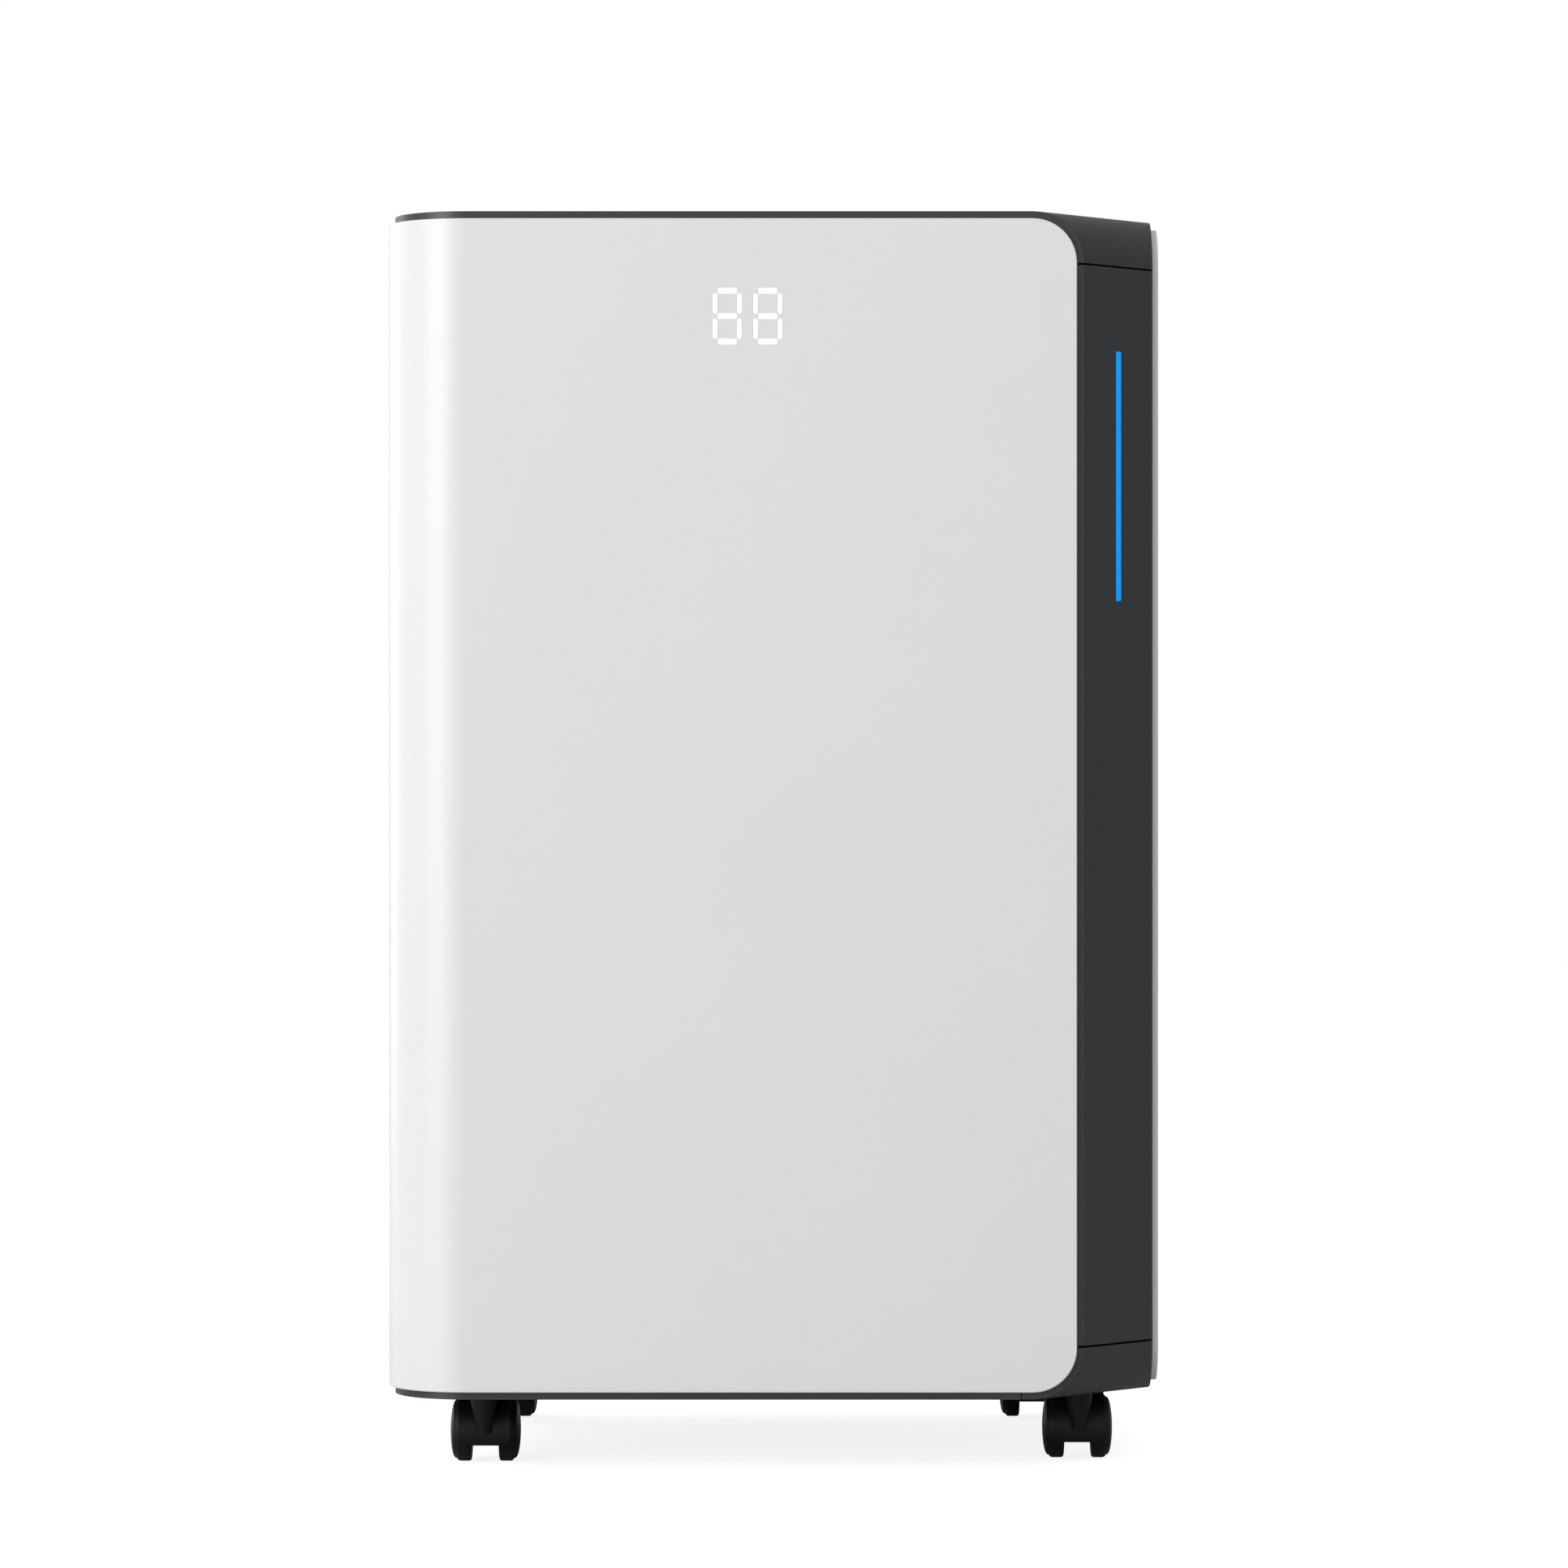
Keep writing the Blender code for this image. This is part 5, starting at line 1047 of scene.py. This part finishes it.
filterLow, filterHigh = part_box("air_filter")
frameRim, meshRim = airFilter["rim"], airFilter["rim"] - airFilter["lap"]
window = block((filterLow.x + frameRim, filterLow.y - past, filterLow.z + frameRim),
               (filterHigh.x - frameRim, filterHigh.y + past, filterHigh.z - frameRim))
makePiece("filterFrame", block(filterLow, filterHigh), greyAbs, "filter_door", ["air_filter"],
          cuts=[window], edge=airFilter["edge"])
sheet = block((filterLow.x + meshRim, filterLow.y + airFilter["meshFront"], filterLow.z + meshRim),
              (filterHigh.x - meshRim, filterLow.y + airFilter["meshBack"], filterHigh.z - meshRim))
makePiece("filterMesh", sheet, wovenNylon, "filter_door", edge=0)
meshWidth = filterHigh.x - filterLow.x - 2 * frameRim
ribHalf, ribCount = airFilter["ribWidth"] / 2, int(meshWidth / airFilter["ribPitch"])
ribPoints = [(filterLow.x + frameRim + (i + 1) * meshWidth / (ribCount + 1), 0, 0) for i in range(ribCount)]
ribShape = block((-ribHalf, filterLow.y + airFilter["ribFront"], filterLow.z + meshRim),
                 (ribHalf, filterHigh.y - airFilter["ribInset"], filterHigh.z - meshRim))
scattered("filterRibs", ribPoints, ribShape, greyAbs, "filter_door")

cap = {"core": 0.0084, "plug": 0.0039, "plugLength": 0.005, "dish": 0.0004, "ribs": 24, "rib": 0.0006,
       "ribSunk": 0.0001, "ribEnd": 0.0008}
core, plug, plugEnd = cap["core"], cap["plug"], capLow.y + cap["plugLength"]
capProfile = [(plug, capLow.y), (plug, plugEnd), (core, plugEnd), (core, capHigh.y - 0.001),
              (core - 0.0010, capHigh.y), (core - 0.0030, capHigh.y),
              (core - 0.0034, capHigh.y - cap["dish"]), (0, capHigh.y - cap["dish"])]
makePiece("drainCap", turned(capProfile, "Y", capCentre, 64), charcoalAbs,
          "drain_cap", ["drain_cap"], edge=0)
ribs = []
for i in range(cap["ribs"]):
    rib = rod(cap["rib"], "Y", (core - cap["ribSunk"], 0, 0), plugEnd, capHigh.y - cap["ribEnd"], 8)
    ribs.append(shifted(turnedShape(rib, math.tau * i / cap["ribs"], "Y"), capCentre))
makePiece("drainCapRibs", merged(ribs), charcoalAbs, "drain_cap", edge=0)

inlet = {
    "mouthX": 0.0125, "mouthZ": 0.0085, "chamferX": 0.008, "chamferZ": 0.004, "deep": 0.017, "edge": 0.0005,
    "pinX": 0.007, "pinZ": 0.0025, "pinHalfX": 0.001, "pinHalfZ": 0.002,
    "pinDeep": 0.0175, "pinBack": 0.003,
}
inletX, inletZ = (inletLow.x + inletHigh.x) / 2, (inletLow.z + inletHigh.z) / 2
mouthX, mouthZ, pinZ = inlet["mouthX"], inlet["mouthZ"], inlet["pinZ"]
mouth = [(-mouthX, -mouthZ), (mouthX, -mouthZ), (mouthX, inlet["chamferZ"]), (inlet["chamferX"], mouthZ),
         (-inlet["chamferX"], mouthZ), (-mouthX, inlet["chamferZ"])]
mouthShape = prism([(inletX + x, inletZ + z) for x, z in mouth], "Y", backY - inlet["deep"], through)
inletFace = roundedOutline((inletLow.x, inletLow.z), (inletHigh.x, inletHigh.z), rear["inletCorner"])
makePiece("mainsInlet", prism(inletFace, "Y", inletLow.y, backY), blackAcrylic,
          "cabinet", ["power_inlet"], cuts=[mouthShape], edge=inlet["edge"])
pinPlaces = ((0, pinZ), (-inlet["pinX"], -pinZ), (inlet["pinX"], -pinZ))
pinShape = block((-inlet["pinHalfX"], backY - inlet["pinDeep"], -inlet["pinHalfZ"]),
                 (inlet["pinHalfX"], backY - inlet["pinBack"], inlet["pinHalfZ"]))
scattered("inletPins", [(inletX + x, 0, inletZ + z) for x, z in pinPlaces], pinShape,
          zincSteel, "cabinet")

coilLow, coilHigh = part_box("evaporator_coil")
coil = {
    "sideX": 0.115, "finInset": 0.003, "finPitch": 0.003, "fin": 0.0004, "tube": 0.004, "passes": 10,
    "tubePast": 0.002, "bendSteps": 12, "bendDepth": 0.75, "sides": 24,
    "plateHalf": 0.0006, "platePast": 0.0008,
}
sideX, tube, plateHalf = coil["sideX"], coil["tube"], coil["plateHalf"]
finCount = int(2 * (sideX - coil["finInset"]) / coil["finPitch"]) + 1
finStart = -coil["finPitch"] * (finCount - 1) / 2
finPoints = [(finStart + coil["finPitch"] * i, 0, 0) for i in range(finCount)]
finShape = block((-coil["fin"] / 2, coilLow.y, coilLow.z), (coil["fin"] / 2, coilHigh.y, coilHigh.z))
scattered("evaporatorFins", finPoints, finShape, finAluminium, "cabinet",
          replaced=["evaporator_coil"])
midY = (coilLow.y + coilHigh.y) / 2
passPitch = (coilHigh.z - coilLow.z) / coil["passes"]
bendX = -sideX - coil["tubePast"]


def returnBend(centreZ):  # joins two passes of the tube on the left
    rings = []
    for step in range(coil["bendSteps"] + 1):
        angle = math.radians(90 + 180 * step / coil["bendSteps"])
        ring = []
        for i in range(coil["sides"]):
            around = math.tau * i / coil["sides"]
            out = passPitch / 2 + tube * math.cos(around)
            ring.append((bendX + out * math.cos(angle) * coil["bendDepth"],
                         midY + tube * math.sin(around), centreZ + out * math.sin(angle)))
        rings.append(ring)
    return loft(rings)


tubes = [rod(tube, "X", (0, midY, coilLow.z + passPitch * (i + 0.5)), bendX, sideX + 0.0001, coil["sides"])
         for i in range(coil["passes"])]
tubes += [returnBend(coilLow.z + passPitch * (2 * i + 1)) for i in range(coil["passes"] // 2)]
makePiece("evaporatorTubes", merged(tubes), drawnCopper, "cabinet", edge=0)
plates = [block((side * sideX - plateHalf, coilLow.y - coil["platePast"], coilLow.z),
                (side * sideX + plateHalf, coilHigh.y + coil["platePast"], coilHigh.z)) for side in (-1, 1)]
makePiece("evaporatorEndPlates", merged(plates), zincSteel, "cabinet", edge=0)
print("back made")


# the remaining CAD nodes keep their shapes and take procedural finishes

finishes = (
    (greyAbs, ("mid_deck", "fan_housing", "fan_wheel", "power_box")),
    (boardGreen, ("light_board", "display_board", "control_board")),
    (zincSteel, ("fan_motor", "louver_motor", "run_capacitor")),
    (finAluminium, ("condenser_coil",)),
    (blackEnamel, ("compressor",)),
    (blackRubber, ("compressor_foot_1", "compressor_foot_2", "compressor_foot_3")),
    (drawnCopper, ("discharge_pipe", "suction_pipe")),
    (blueLight, ("light_guide",)),
)
for material, nodes in finishes:
    for name in nodes:
        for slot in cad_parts[name].material_slots:
            slot.material = material
